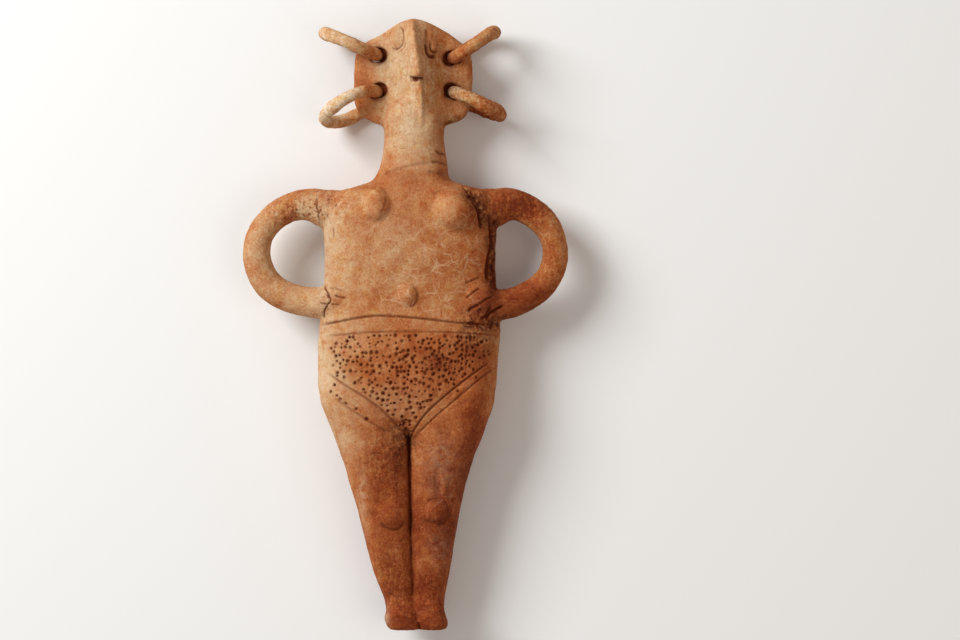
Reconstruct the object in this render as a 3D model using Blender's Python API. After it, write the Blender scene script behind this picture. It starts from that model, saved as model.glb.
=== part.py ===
"""A bird-headed clay figurine lying on its back, with four loose clay earrings.

Metres. +Y runs from the soles to the crown and +Z up out of the belly.
Left and right are the viewer's, looking down on the figurine.
"""

import math
import random

import bmesh
import bpy
from mathutils import Vector
from mathutils.bvhtree import BVHTree

# Driving sizes
FIGURE_LENGTH = 0.1978  # soles to crown
BODY_DEPTH = 0.0252  # back to belly at the hips
ARM_THICKNESS = 0.0088  # at the elbow
EAR_THICKNESS = 0.0054
COIL = 0.0041  # thickness of the rolled clay of an earring
HOLE_CLEARANCE = 0.0007  # round a coil in its hole through the ear
TOUCH_GAP = 0.0002  # between a coil and the side of the hole it hangs against
FLOOR_GAP = 0.0001  # between an earring and what the figurine lies on
GROOVE_WIDTH = 0.0009
GROOVE_DEPTH = 0.0007
PRICK_DIAMETER = 0.0013
PRICK_DEPTH = 0.0010
PRICK_GAP = 0.0001  # least clay left between two pricks, or between a prick and a line
PRICK_COUNT = 225

# Fineness of the solids
VOXEL = 0.0009
SMOOTHING_PASSES = 4
BODY_TRIANGLES = 3000
SECTION_POINTS = 32
LEVEL_STEP = 1.5  # between two sections of the trunk (MM)
FINE_LEVEL_STEP = 0.9  # between two sections of a leg, the head or the nose (MM)
EARRING_STEPS = 24
EARRING_SIDES = 7

MM = FIGURE_LENGTH / 197.8  # one millimetre on a figurine of this length
MID_PLANE = BODY_DEPTH / 2  # the height at which the ears and arms lie

# The trunk from crotch to neck: height above the soles, left and right edges (MM),
# then back and front as shares of BODY_DEPTH.
TRUNK = (
    (57.0, 2.5, 1.0, 0.40, 0.66),
    (61.0, 8.0, 6.0, 0.24, 0.82),
    (67.0, 18.0, 15.6, 0.08, 0.91),
    (74.0, 28.0, 25.0, 0.00, 0.97),
    (79.0, 30.6, 27.1, -0.04, 1.00),
    (90.0, 30.6, 27.9, -0.03, 1.00),
    (98.0, 30.1, 28.5, 0.05, 0.96),
    (106.0, 29.0, 27.2, 0.13, 0.93),
    (114.0, 28.6, 26.9, 0.10, 0.95),
    (122.0, 28.3, 26.8, 0.03, 0.98),
    (131.0, 28.8, 27.2, -0.03, 0.99),
    (137.0, 28.6, 27.0, -0.02, 0.97),
    (141.8, 25.4, 25.0, 0.04, 0.93),
    (144.0, 18.2, 18.2, 0.09, 0.89),
    (146.0, 12.7, 12.4, 0.13, 0.87),
    (150.0, 10.6, 11.0, 0.17, 0.86),
)
TRUNK_SQUARENESS = 2.6

# The neck, in the same columns as the trunk.
NECK = (
    (142.0, 12.0, 12.0, 0.17, 0.86),
    (149.0, 11.0, 11.5, 0.17, 0.86),
    (154.0, 9.8, 10.9, 0.18, 0.85),
    (160.0, 9.1, 10.2, 0.19, 0.85),
    (166.0, 9.2, 10.3, 0.20, 0.86),
    (172.0, 8.0, 8.6, 0.24, 0.80),
)
NECK_SQUARENESS = 2.1

# The line between the legs, as height and sideways place (MM).
LEG_SPLIT = ((0.0, 2.2), (4.0, 1.9), (10.0, 0.4), (14.0, 0.0), (42.0, -0.6), (66.0, -1.4), (92.0, -1.6))
LEG_OVERLAP = 0.7  # how far each leg reaches past that line (MM)
# Each leg: height and outer edge (MM), then back and front as shares of BODY_DEPTH.
LEFT_LEG = (
    (6.0, 8.2, 0.26, 0.69),
    (10.0, 9.1, 0.25, 0.68),
    (14.0, 10.8, 0.24, 0.70),
    (22.0, 13.5, 0.21, 0.75),
    (38.0, 17.5, 0.16, 0.82),
    (54.0, 22.3, 0.08, 0.88),
    (66.0, 26.5, 0.03, 0.93),
    (76.0, 30.0, 0.00, 0.95),
    (84.0, 29.4, 0.04, 0.94),
    (92.0, 24.0, 0.14, 0.86),
)
RIGHT_LEG = (
    (6.0, 10.2, 0.26, 0.69),
    (10.0, 10.3, 0.25, 0.68),
    (14.0, 11.0, 0.24, 0.70),
    (22.0, 12.5, 0.21, 0.75),
    (38.0, 15.3, 0.16, 0.82),
    (54.0, 19.1, 0.08, 0.88),
    (66.0, 23.6, 0.03, 0.93),
    (76.0, 26.7, 0.00, 0.95),
    (84.0, 26.0, 0.04, 0.94),
    (92.0, 21.0, 0.14, 0.86),
)
LEG_SQUARENESS = 2.7
LEFT_FOOT = (
    (0.4, 7.2, 0.30, 0.80),
    (1.6, 8.3, 0.26, 0.86),
    (4.0, 9.0, 0.23, 0.85),
    (7.0, 8.4, 0.24, 0.77),
    (11.0, 9.2, 0.25, 0.68),
)
RIGHT_FOOT = (
    (0.4, 10.9, 0.27, 0.81),
    (1.6, 11.7, 0.25, 0.86),
    (4.0, 11.1, 0.22, 0.85),
    (7.0, 10.1, 0.24, 0.77),
    (11.0, 10.2, 0.25, 0.68),
)

# The head with its flat ears: height, left edge, right edge (MM),
# then how far the face's ridge and the back of the skull stand out (MM).
HEAD = (
    (163.7, 9.6, 10.2, 6.4, 4.6),
    (164.6, 12.6, 13.6, 6.6, 4.4),
    (166.4, 16.0, 17.0, 7.0, 4.1),
    (169.4, 18.2, 18.4, 7.4, 3.8),
    (174.0, 19.0, 19.2, 8.2, 3.4),
    (181.0, 18.9, 19.4, 8.8, 3.0),
    (186.4, 18.4, 19.2, 8.3, 2.4),
    (189.4, 16.7, 17.3, 7.6, 1.8),
    (191.6, 13.6, 14.5, 6.8, 1.4),
    (193.2, 10.4, 12.0, 5.9, 1.0),
    (195.6, 6.5, 8.1, 4.7, 0.5),
    (197.0, 3.8, 5.2, 3.9, 0.2),
    (198.2, 0.8, 2.2, 3.2, 0.0),
)
FACE_HALF_WIDTH = 10.5  # from the ridge to the flat of the ear (MM)
FACE_HOLLOWNESS = 1.3  # 1 is a plain roof from ridge to ear, more is a hollow cheek
SKULL_HALF_WIDTH = 11.0
SKULL_FALL = 1.5  # how fast the back of the skull falls away to the ears
EAR_SQUARENESS = 4.0  # of the ears' rims
# The ridge of face and nose, as height and sideways place (MM).
FACE_RIDGE = ((160.0, 3.0), (173.0, 3.0), (181.0, 2.0), (190.0, 0.7), (200.0, 0.0))
# The nose along that ridge: height, half width and how far it stands proud of the ridge (MM).
NOSE = ((177.6, 2.7, 3.6), (181.0, 2.6, 3.4), (187.0, 2.3, 2.2), (193.0, 1.9, 1.1), (197.0, 1.4, 0.5))
# Its section from the side up to the ridge: run and fall as shares of the half width.
NOSE_SECTION = ((1.0, 1.1), (0.45, 0.15), (0.0, 0.0))
NOSE_END = 179.1  # height of the nose's underside (MM)
NOSE_UNDERCUT = (3.8, 3.0, 2.6)  # the cut below it: run down the face, half width and fall at the sides (MM)
NOSE_UNDERCUT_SINK = 1.0  # how deep it goes under the ridge (MM)
NOSE_UNDERCUT_SLOPE = 1.2  # how much of that it loses over its run (MM)
NOSE_UNDERCUT_TOP = 8.0  # how far above the ridge the cutter ends, clear of the nose (MM)

# The arms' centre lines from the shoulder round the elbow to the hand: sideways place and
# height (MM), lift above the mid plane as a share of BODY_DEPTH, thickness as a share of
# ARM_THICKNESS, and flatness (1 is round).
LEFT_ARM = (
    (-20.0, 136.0, 0.02, 1.50, 0.85),
    (-27.4, 136.6, 0.01, 1.46, 0.88),
    (-32.6, 137.8, 0.00, 1.22, 0.96),
    (-37.8, 137.5, 0.00, 1.10, 1.0),
    (-44.5, 134.2, 0.00, 1.04, 1.0),
    (-49.1, 128.5, 0.00, 1.01, 1.0),
    (-50.5, 121.8, 0.00, 1.02, 1.0),
    (-48.8, 115.4, 0.00, 1.06, 1.0),
    (-44.8, 110.4, 0.00, 1.09, 1.0),
    (-38.7, 107.5, 0.01, 1.11, 1.0),
    (-32.4, 106.3, 0.06, 1.15, 0.9),
    (-27.2, 106.5, 0.15, 1.14, 0.75),
    (-23.6, 107.4, 0.25, 0.92, 0.6),
    (-21.2, 108.0, 0.30, 0.50, 0.6),
)
RIGHT_ARM = (
    (19.0, 136.4, 0.02, 1.50, 0.85),
    (26.0, 137.0, 0.01, 1.46, 0.88),
    (30.4, 138.1, 0.00, 1.24, 0.96),
    (35.0, 137.5, 0.00, 1.13, 1.0),
    (40.6, 134.0, 0.00, 1.07, 1.0),
    (44.8, 128.9, 0.00, 0.98, 1.0),
    (46.3, 122.2, 0.00, 0.94, 1.0),
    (44.7, 115.7, 0.00, 0.97, 1.0),
    (40.9, 110.7, 0.00, 1.02, 1.0),
    (35.4, 107.4, 0.02, 1.08, 1.0),
    (30.0, 105.7, 0.08, 1.14, 0.9),
    (25.2, 105.6, 0.19, 1.16, 0.75),
    (21.2, 107.6, 0.28, 1.18, 0.6),
    (17.9, 109.3, 0.33, 0.78, 0.6),
)

# Clay pressed on to the front: sideways place, height, two half widths and how far proud (MM).
PELLETS = (
    (-11.4, 137.9, 4.6, 5.2, 2.8),  # left breast
    (13.9, 136.2, 6.9, 6.7, 5.0),  # right breast
    (-1.5, 108.4, 3.2, 4.0, 2.0),  # navel
    (-6.3, 37.6, 4.4, 4.7, 1.4),  # left knee
    (7.8, 38.4, 3.9, 4.2, 1.4),  # right knee
    (-5.3, 191.8, 2.3, 3.4, 0.9),  # left eye
    (6.4, 189.1, 1.3, 1.5, 1.3),  # right eye
)
PELLET_SINK = 3.0  # how far a pellet's middle lies below the surface (MM)

# Incised lines as points of sideways place and height (MM).
GIRDLE_TOP = ((-29.2, 98.9), (-22.7, 100.2), (-12.6, 101.8), (-1.0, 101.4), (12.9, 100.0), (27.0, 99.0))
GIRDLE_LOW = ((-29.4, 95.0), (-22.3, 96.0), (-7.5, 96.7), (13.3, 96.5), (27.2, 95.4))
LEFT_V = ((-27.0, 83.2), (-22.0, 79.8), (-16.2, 76.2), (-9.8, 71.6), (-5.2, 66.9), (-2.2, 64.2))
LEFT_V_OUTER = ((-24.4, 74.9), (-18.4, 70.8), (-11.0, 66.2))
RIGHT_V = ((24.3, 86.6), (17.0, 81.2), (10.2, 75.7), (4.4, 70.3), (0.4, 64.6))
RIGHT_V_OUTER = ((26.2, 85.0), (20.2, 80.2), (13.4, 74.4), (8.0, 69.8), (1.7, 63.8))
LEG_LINE = ((-1.4, 64.0), (-0.8, 50.0), (-0.6, 38.0), (-0.2, 26.0), (0.0, 13.0))
SHOULDER_SEAM = ((18.2, 141.6), (19.6, 139.4), (20.9, 136.4), (22.4, 132.6), (23.8, 129.9))
NECK_CREASES = (((6.4, 155.4), (10.2, 154.4)), ((7.0, 152.0), (10.6, 151.6)))
EYE_LINES = (
    ((-2.5, 195.0), (-2.6, 193.2), (-3.0, 191.2), (-4.0, 189.0), (-5.4, 188.1), (-6.9, 189.0)),
    ((4.0, 193.4), (3.9, 189.6), (4.4, 186.6), (5.8, 185.6), (7.3, 186.4)),
)
KNEE_LINES = (
    ((-9.8, 35.2), (-8.0, 33.2), (-5.6, 32.8), (-3.2, 34.4)),
    ((4.2, 40.4), (3.8, 37.4), (5.4, 34.6), (8.2, 33.9), (11.0, 35.6), (11.9, 38.4)),
)
LEFT_FINGERS = (
    ((-27.0, 111.1), (-22.6, 109.6)),
    ((-25.2, 108.6), (-21.6, 107.4)),
    ((-27.4, 105.9), (-22.8, 105.5)),
)
RIGHT_FINGERS = (
    ((17.6, 112.0), (19.8, 113.2)),
    ((17.6, 107.9), (21.6, 110.9)),
    ((18.8, 103.7), (24.8, 107.4)),
    ((23.8, 101.2), (28.2, 104.4)),
)
BACK_GIRDLE = (98.6, 95.4)  # heights of the girdle's two lines on the back (MM)
BACK_GIRDLE_RUN = (-26.0, -10.0, 8.0, 24.0)  # sideways places that those lines go through (MM)
SPINE = ((-0.6, 136.0), (-1.0, 120.0), (-1.2, 104.0))
BACK_CLEFT = ((-1.2, 90.0), (-1.3, 80.0), (-1.3, 68.0))
PRICKED_SIDES = (-24.8, 23.8)  # where the pricked field ends at the hips (MM)
PRICK_TRIES = 40000  # places tried for the pricks before the field counts as full
GROOVE_PROUD = 1.8  # how far a groove's cutter stands out of the clay, as a share of the groove's depth
PRICK_PROUD = 0.3  # the same for a prick's cutter
V_SLOPE = 1.35  # height taken along the V's slope by a margin square to it
NORMAL_REACH = 1.2  # how far round a point its slope is averaged (MM)

# The earrings: where the hole goes through the ear (MM), which way the ring points,
# its lean towards the crown, in degrees, and its span over the coil.
EARRINGS = {
    "earring_upper_left": {"hole": (-11.1, 186.3), "points": 157.0, "lean": -2.6, "span": 0.0228},
    "earring_lower_left": {"hole": (-11.0, 174.6), "points": 206.0, "lean": 16.5, "span": 0.0236},
    "earring_upper_right": {"hole": (12.7, 185.2), "points": 32.0, "lean": -3.0, "span": 0.0206},
    "earring_lower_right": {"hole": (12.6, 174.6), "points": -25.5, "lean": 4.0, "span": 0.0218},
}
COIL_UNEVENNESS = 0.06  # share by which the rolled coil thins and thickens

# Clay, as base colour, roughness and metallic
BODY_CLAY = ((0.50, 0.24, 0.115, 1.0), 0.86, 0.0)
EARRING_CLAY = ((0.54, 0.29, 0.15, 1.0), 0.88, 0.0)


def clear_scene():
    for obj in list(bpy.data.objects):
        bpy.data.objects.remove(obj)


def slopes_of(knots, values):
    """Slopes of a curve through the values that never overshoots them."""
    steps = [
        (values[i + 1] - values[i]) / (knots[i + 1] - knots[i]) for i in range(len(knots) - 1)
    ]
    slopes = [steps[0]]
    for before, after in zip(steps, steps[1:]):
        slopes.append(0.0 if before * after <= 0 else 2 * before * after / (before + after))
    slopes.append(steps[-1])
    return slopes


def read_curve(table, column, at):
    """The value in this column at a height, on a smooth curve through the table's rows."""
    knots = [row[0] for row in table]
    values = [row[column] for row in table]
    at = min(max(at, knots[0]), knots[-1])
    slopes = slopes_of(knots, values)
    i = max(k for k in range(len(knots) - 1) if knots[k] <= at)
    width = knots[i + 1] - knots[i]
    t = (at - knots[i]) / width
    return (
        values[i] * (1 + 2 * t) * (1 - t) ** 2
        + slopes[i] * width * t * (1 - t) ** 2
        + values[i + 1] * t * t * (3 - 2 * t)
        - slopes[i + 1] * width * t * t * (1 - t)
    )


def smooth_line(points, steps):
    """A smooth line through points of any size, with this many steps between two of them."""
    line = []
    last = len(points) - 1
    for i in range(last):
        a, b, c, d = (Vector(points[max(0, min(last, i + k))]) for k in (-1, 0, 1, 2))
        for step in range(steps):
            t = step / steps
            line.append(
                b
                + (c - a) * t / 2
                + (a - b * 2.5 + c * 2 - d / 2) * t * t
                + ((b - c) * 1.5 + (d - a) / 2) * t ** 3
            )
    line.append(Vector(points[-1]))
    return line


def mesh_object(name, build):
    """A new object from a bmesh, with its faces turned outwards."""
    bmesh.ops.recalc_face_normals(build, faces=build.faces)
    mesh = bpy.data.meshes.new(name)
    build.to_mesh(mesh)
    build.free()
    obj = bpy.data.objects.new(name, mesh)
    bpy.context.scene.collection.objects.link(obj)
    return obj


def skin(build, rings, closed=False):
    """Faces between rings of equally many points, with both ends capped unless it is closed."""
    made = [[build.verts.new(point) for point in ring] for ring in rings]
    pairs = list(zip(made, made[1:] + made[:1])) if closed else list(zip(made, made[1:]))
    for one, other in pairs:
        for i in range(len(one)):
            j = (i + 1) % len(one)
            build.faces.new((one[i], one[j], other[j], other[i]))
    if not closed:
        build.faces.new(made[0])
        build.faces.new(made[-1])


def loft(name, rings):
    build = bmesh.new()
    skin(build, rings)
    return mesh_object(name, build)


def rounded_section(left, right, back, front, height, squareness):
    """One level section of a limb or the trunk: an oval that is squarer the higher its power."""
    middle = Vector(((left + right) / 2, height, (back + front) / 2))
    ring = []
    for i in range(SECTION_POINTS):
        angle = 2 * math.pi * i / SECTION_POINTS
        c, s = math.cos(angle), math.sin(angle)
        x = math.copysign(abs(c) ** (2 / squareness), c) * (right - left) / 2
        z = math.copysign(abs(s) ** (2 / squareness), s) * (front - back) / 2
        ring.append(middle + Vector((x, 0, z)))
    return ring


def heights_of(table, step):
    """Levels (MM) at which a table is cut into sections."""
    low, high = table[0][0], table[-1][0]
    count = max(2, round((high - low) / step))
    return [low + (high - low) * i / count for i in range(count + 1)]


def make_trunk(name, table, squareness):
    rings = [
        rounded_section(
            -read_curve(table, 1, h) * MM,
            read_curve(table, 2, h) * MM,
            read_curve(table, 3, h) * BODY_DEPTH,
            read_curve(table, 4, h) * BODY_DEPTH,
            h * MM,
            squareness,
        )
        for h in heights_of(table, LEVEL_STEP)
    ]
    return loft(name, rings)


def make_leg(name, table, side):
    """A leg or foot on one side (-1 left, 1 right) of the line between the legs."""
    rings = []
    for h in heights_of(table, FINE_LEVEL_STEP):
        inner = (read_curve(LEG_SPLIT, 1, h) - side * LEG_OVERLAP) * MM
        outer = side * read_curve(table, 1, h) * MM
        back = read_curve(table, 2, h) * BODY_DEPTH
        front = read_curve(table, 3, h) * BODY_DEPTH
        left, right = sorted((inner, outer))
        rings.append(rounded_section(left, right, back, front, h * MM, LEG_SQUARENESS))
    return loft(name, rings)


def head_section(h):
    """A level section of the head: a flat ear each side, the pinched face in front, the skull behind."""
    left, right = -read_curve(HEAD, 1, h), read_curve(HEAD, 2, h)
    ridge, skull = read_curve(HEAD, 3, h), read_curve(HEAD, 4, h)
    ridge_x = read_curve(FACE_RIDGE, 1, h)
    front, back = [], []
    for i in range(SECTION_POINTS + 1):
        s = -math.cos(math.pi * i / SECTION_POINTS)
        x = (left + right) / 2 + (right - left) / 2 * s
        rim = (1 - abs(s) ** EAR_SQUARENESS) ** (1 / EAR_SQUARENESS)
        face = max(0.0, 1 - abs(x - ridge_x) / FACE_HALF_WIDTH) ** FACE_HOLLOWNESS
        dome = max(0.0, 1 - (x / SKULL_HALF_WIDTH) ** 2) ** SKULL_FALL
        front.append(Vector((x * MM, h * MM, MID_PLANE + rim * (EAR_THICKNESS / 2 + ridge * face * MM))))
        back.append(Vector((x * MM, h * MM, MID_PLANE - rim * (EAR_THICKNESS / 2 + skull * dome * MM))))
    return front + back[-2:0:-1]


def make_head():
    return loft("head", [head_section(h) for h in heights_of(HEAD, FINE_LEVEL_STEP)])


def make_nose():
    """A wedge along the face's ridge that ends square over the chin."""
    rings = []
    for h in heights_of(NOSE, FINE_LEVEL_STEP):
        x = read_curve(FACE_RIDGE, 1, h) * MM
        half = read_curve(NOSE, 1, h) * MM
        top = MID_PLANE + EAR_THICKNESS / 2 + (read_curve(HEAD, 3, h) + read_curve(NOSE, 2, h)) * MM
        right = [(run * half, top - fall * half) for run, fall in NOSE_SECTION]
        left = [(-run, z) for run, z in reversed(right[:-1])]
        profile = [(-half, MID_PLANE), (half, MID_PLANE), *right, *left]
        rings.append([Vector((x + run, h * MM, z)) for run, z in profile])
    return loft("nose", rings)


def make_arm(name, table):
    """A coil of clay bent round from the shoulder to the hand on the hip."""
    line = smooth_line(table, 4)
    centres = [Vector((p[0] * MM, p[1] * MM, MID_PLANE + p[2] * BODY_DEPTH)) for p in line]
    rings = []
    for i, point in enumerate(line):
        along = (centres[min(i + 1, len(centres) - 1)] - centres[max(i - 1, 0)]).normalized()
        side = along.cross(Vector((0, 0, 1))).normalized()
        up = side.cross(along)
        half = point[3] * ARM_THICKNESS / 2
        ring = []
        for k in range(SECTION_POINTS // 2):
            angle = 4 * math.pi * k / SECTION_POINTS
            ring.append(centres[i] + side * half * math.cos(angle) + up * half * point[4] * math.sin(angle))
        rings.append(ring)
    return loft(name, rings)


def tree_of(obj):
    """The object's evaluated surface, for finding places on it."""
    return BVHTree.FromObject(obj, bpy.context.evaluated_depsgraph_get())


def surface_at(tree, x, y, from_behind=False):
    """Where a line along Z meets the front or the back, and the surface's normal there."""
    side = -1 if from_behind else 1
    point, normal, _, _ = tree.ray_cast(Vector((x, y, side * FIGURE_LENGTH)), Vector((0, 0, -side)))
    if point is None:
        return None, None
    return point, normal if normal.z * side > 0 else -normal


def calm_surface_at(tree, x, y, from_behind=False):
    """The surface at a place, with its slope averaged over what lies around it."""
    point, normal = surface_at(tree, x, y, from_behind)
    reach = NORMAL_REACH * MM
    around = [
        surface_at(tree, x + dx, y + dy, from_behind)[1]
        for dx, dy in ((reach, 0), (-reach, 0), (0, reach), (0, -reach))
    ]
    return point, sum((other for other in around if other), normal).normalized() if point else None


def join(name, objects):
    """One object that holds the meshes of all of them, still as overlapping shells."""
    build = bmesh.new()
    for obj in objects:
        build.from_mesh(obj.data)
        bpy.data.objects.remove(obj)
    return mesh_object(name, build)


def settle(obj):
    """Turns the object's modifiers into its mesh."""
    graph = bpy.context.evaluated_depsgraph_get()
    mesh = bpy.data.meshes.new_from_object(obj.evaluated_get(graph))
    obj.modifiers.clear()
    obj.data = mesh


def make_pellet(tree, x, y, half_x, half_y, proud):
    """A flattened ball of clay pressed on to the front."""
    point, normal = surface_at(tree, x * MM, y * MM)
    build = bmesh.new()
    bmesh.ops.create_uvsphere(build, u_segments=20, v_segments=12, radius=1)
    reach = PELLET_SINK + proud
    spread = 1 / math.sqrt(1 - (PELLET_SINK / reach) ** 2)
    size = Vector((half_x * spread, half_y * spread, reach)) * MM
    turn = Vector((0, 0, 1)).rotation_difference(normal)
    for vert in build.verts:
        vert.co = point - normal * PELLET_SINK * MM + turn @ (vert.co * size)
    return mesh_object("pellet", build)


def cut(body, cutter):
    """Takes the cutter's shape out of the body."""
    modifier = body.modifiers.new("cut", "BOOLEAN")
    modifier.operation = "DIFFERENCE"
    modifier.solver = "EXACT"
    modifier.object = cutter
    settle(body)
    bpy.data.objects.remove(cutter)


def groove_cutter(tree, points, from_behind=False, steps=2):
    """A three-sided rod that follows a line on the surface and cuts a V."""
    line = smooth_line(points, steps)
    places = []
    for p in line:
        point, normal = calm_surface_at(tree, p[0] * MM, p[1] * MM, from_behind)
        if point is not None:
            places.append((point, normal))
    rings = []
    for i, (point, normal) in enumerate(places):
        along = places[min(i + 1, len(places) - 1)][0] - places[max(i - 1, 0)][0]
        across = along.cross(normal).normalized() * GROOVE_WIDTH / 2 * (1 + GROOVE_PROUD)
        proud = point + normal * GROOVE_DEPTH * GROOVE_PROUD
        rings.append([proud + across, proud - across, point - normal * GROOVE_DEPTH])
    build = bmesh.new()
    skin(build, rings)
    return mesh_object("groove", build)


def line_height(line, x):
    """Height of an incised line at this sideways place, straight between its points."""
    ordered = sorted(line)
    x = min(max(x, ordered[0][0]), ordered[-1][0])
    for (x0, y0), (x1, y1) in zip(ordered, ordered[1:]):
        if x <= x1:
            return y0 + (y1 - y0) * (x - x0) / (x1 - x0)
    return ordered[-1][1]


def prick_places():
    """Scattered places between the girdle and the V, none of them touching."""
    scatter = random.Random(11)
    spacing = PRICK_DIAMETER * (1 + PRICK_PROUD) + PRICK_GAP
    margin = ((PRICK_DIAMETER * (1 + PRICK_PROUD) + GROOVE_WIDTH) / 2 + PRICK_GAP) / MM
    places = []
    low = LEFT_V[-1][1]
    tries = 0
    while len(places) < PRICK_COUNT and tries < PRICK_TRIES:
        tries += 1
        x = scatter.uniform(*PRICKED_SIDES)
        y = scatter.uniform(low, GIRDLE_LOW[2][1])
        v_line = LEFT_V if x < RIGHT_V[-1][0] else RIGHT_V
        inside = line_height(v_line, x) + margin * V_SLOPE < y < line_height(GIRDLE_LOW, x) - margin
        if inside and all(math.hypot(x - a, y - b) * MM > spacing for a, b in places):
            places.append((x, y))
    return places


def prick_cutter(tree):
    """All the pricks as small four-sided points."""
    build = bmesh.new()
    for x, y in prick_places():
        point, normal = calm_surface_at(tree, x * MM, y * MM)
        turn = Vector((0, 0, 1)).rotation_difference(normal)
        top = [
            build.verts.new(
                point
                + normal * PRICK_DEPTH * PRICK_PROUD
                + turn @ Vector((math.cos(a), math.sin(a), 0)) * PRICK_DIAMETER / 2 * (1 + PRICK_PROUD)
            )
            for a in (0.4, 0.4 + math.pi / 2, 0.4 + math.pi, 0.4 + 1.5 * math.pi)
        ]
        tip = build.verts.new(point - normal * PRICK_DEPTH)
        build.faces.new(top)
        for i in range(4):
            build.faces.new((top[i], top[(i + 1) % 4], tip))
    return mesh_object("pricks", build)


def earring_frame(ring):
    """The ring's centre, its way out from the hole, its way up, and its coil's radius line."""
    angle, lean = math.radians(ring["points"]), math.radians(ring["lean"])
    out = Vector((math.cos(angle), math.sin(angle), 0))
    towards_crown = Vector((-out.y, out.x, 0)) if out.x > 0 else Vector((out.y, -out.x, 0))
    up = Vector((0, 0, 1)) * math.cos(lean) + towards_crown * math.sin(lean)
    radius = (ring["span"] - COIL) / 2
    height = radius * math.cos(lean) + COIL * (1 + COIL_UNEVENNESS) / 2 + FLOOR_GAP
    rise = (MID_PLANE - height) / up.z
    hole = Vector((ring["hole"][0] * MM, ring["hole"][1] * MM, MID_PLANE))
    centre = hole + out * math.sqrt(radius ** 2 - rise ** 2) - up * rise
    return centre, out, up, radius


def torus(name, ring, thickness, unevenness, shift, steps, sides):
    """The ring's coil, or with more thickness and no shift the way that it takes through the ear."""
    centre, out, up, radius = earring_frame(ring)
    centre = centre + out * shift
    across = out.cross(up)
    rings = []
    for i in range(steps):
        angle = 2 * math.pi * i / steps
        spoke = out * math.cos(angle) + up * math.sin(angle)
        half = thickness / 2 * (1 + unevenness * math.sin(3 * angle + ring["points"]))
        section = []
        for k in range(sides):
            turn = 2 * math.pi * k / sides
            section.append(centre + spoke * (radius + half * math.cos(turn)) + across * half * math.sin(turn))
        rings.append(section)
    build = bmesh.new()
    skin(build, rings, closed=True)
    return mesh_object(name, build)


def make_earring(name, ring):
    """A ring of rolled clay, hung against the outer side of its hole."""
    shift = HOLE_CLEARANCE - TOUCH_GAP - COIL * COIL_UNEVENNESS / 2
    return torus(name, ring, COIL, COIL_UNEVENNESS, shift, EARRING_STEPS, EARRING_SIDES)


def hole_cutter(ring):
    return torus("hole", ring, COIL + 2 * HOLE_CLEARANCE, 0.0, 0.0, EARRING_STEPS, EARRING_SIDES + 2)


def floor_cutter():
    """A slab under the plane that the figurine lies on."""
    build = bmesh.new()
    bmesh.ops.create_cube(build, size=2)
    for vert in build.verts:
        vert.co = Vector((vert.co.x * FIGURE_LENGTH, vert.co.y * FIGURE_LENGTH, (vert.co.z - 1) * BODY_DEPTH))
    return mesh_object("floor", build)


def modelled_body():
    """The clay before any cut: every limb and pellet, smoothed into one skin."""
    limbs = [
        make_trunk("trunk", TRUNK, TRUNK_SQUARENESS),
        make_trunk("neck", NECK, NECK_SQUARENESS),
        make_leg("left_leg", LEFT_LEG, -1),
        make_leg("right_leg", RIGHT_LEG, 1),
        make_leg("left_foot", LEFT_FOOT, -1),
        make_leg("right_foot", RIGHT_FOOT, 1),
        make_head(),
        make_nose(),
        make_arm("left_arm", LEFT_ARM),
        make_arm("right_arm", RIGHT_ARM),
    ]
    body = join("figurine", limbs)
    tree = tree_of(body)
    pellets = [make_pellet(tree, *pellet) for pellet in PELLETS]
    body = join("figurine", [body, *pellets])
    remesh = body.modifiers.new("skin", "REMESH")
    remesh.mode = "VOXEL"
    remesh.voxel_size = VOXEL
    smooth = body.modifiers.new("smooth", "SMOOTH")
    smooth.factor = 0.5
    smooth.iterations = SMOOTHING_PASSES
    settle(body)
    thin = body.modifiers.new("thin", "DECIMATE")
    thin.ratio = min(1.0, BODY_TRIANGLES / (2 * len(body.data.polygons)))
    settle(body)
    return body


def incise(body):
    """Cuts the incised lines and the pricks."""
    tree = tree_of(body)
    lines = [GIRDLE_TOP, GIRDLE_LOW, LEFT_V, LEFT_V_OUTER, RIGHT_V, RIGHT_V_OUTER]
    lines += [LEG_LINE, SHOULDER_SEAM, *NECK_CREASES, *EYE_LINES, *KNEE_LINES]
    cutters = [groove_cutter(tree, line) for line in lines]
    cutters += [groove_cutter(tree, line) for line in LEFT_FINGERS + RIGHT_FINGERS]
    for height in BACK_GIRDLE:
        line = [(x, height) for x in BACK_GIRDLE_RUN]
        cutters.append(groove_cutter(tree, line, from_behind=True))
    cutters += [groove_cutter(tree, line, from_behind=True) for line in (SPINE, BACK_CLEFT)]
    cutters.append(prick_cutter(tree))
    for cutter in cutters:
        cut(body, cutter)


def nose_cutter():
    """A wedge that squares off the nose and runs out down the face below it."""
    x = read_curve(FACE_RIDGE, 1, NOSE_END)
    face = MID_PLANE + EAR_THICKNESS / 2 + read_curve(HEAD, 3, NOSE_END) * MM
    run, half, fall = NOSE_UNDERCUT
    rings = []
    top = face + NOSE_UNDERCUT_TOP * MM
    for side in (-1, 0, 1):
        floor = face - (fall * abs(side) + NOSE_UNDERCUT_SINK) * MM
        section = ((0, floor), (0, top), (-run, top), (-run, floor + NOSE_UNDERCUT_SLOPE * MM))
        rings.append([Vector(((x + side * half) * MM, (NOSE_END + y) * MM, z)) for y, z in section])
    build = bmesh.new()
    skin(build, rings)
    return mesh_object("nose_end", build)


def clay(name, look):
    colour, roughness, metallic = look
    material = bpy.data.materials.new(name)
    material.use_nodes = True
    shader = material.node_tree.nodes["Principled BSDF"]
    shader.inputs["Base Color"].default_value = colour
    shader.inputs["Roughness"].default_value = roughness
    shader.inputs["Metallic"].default_value = metallic
    return material


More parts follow.
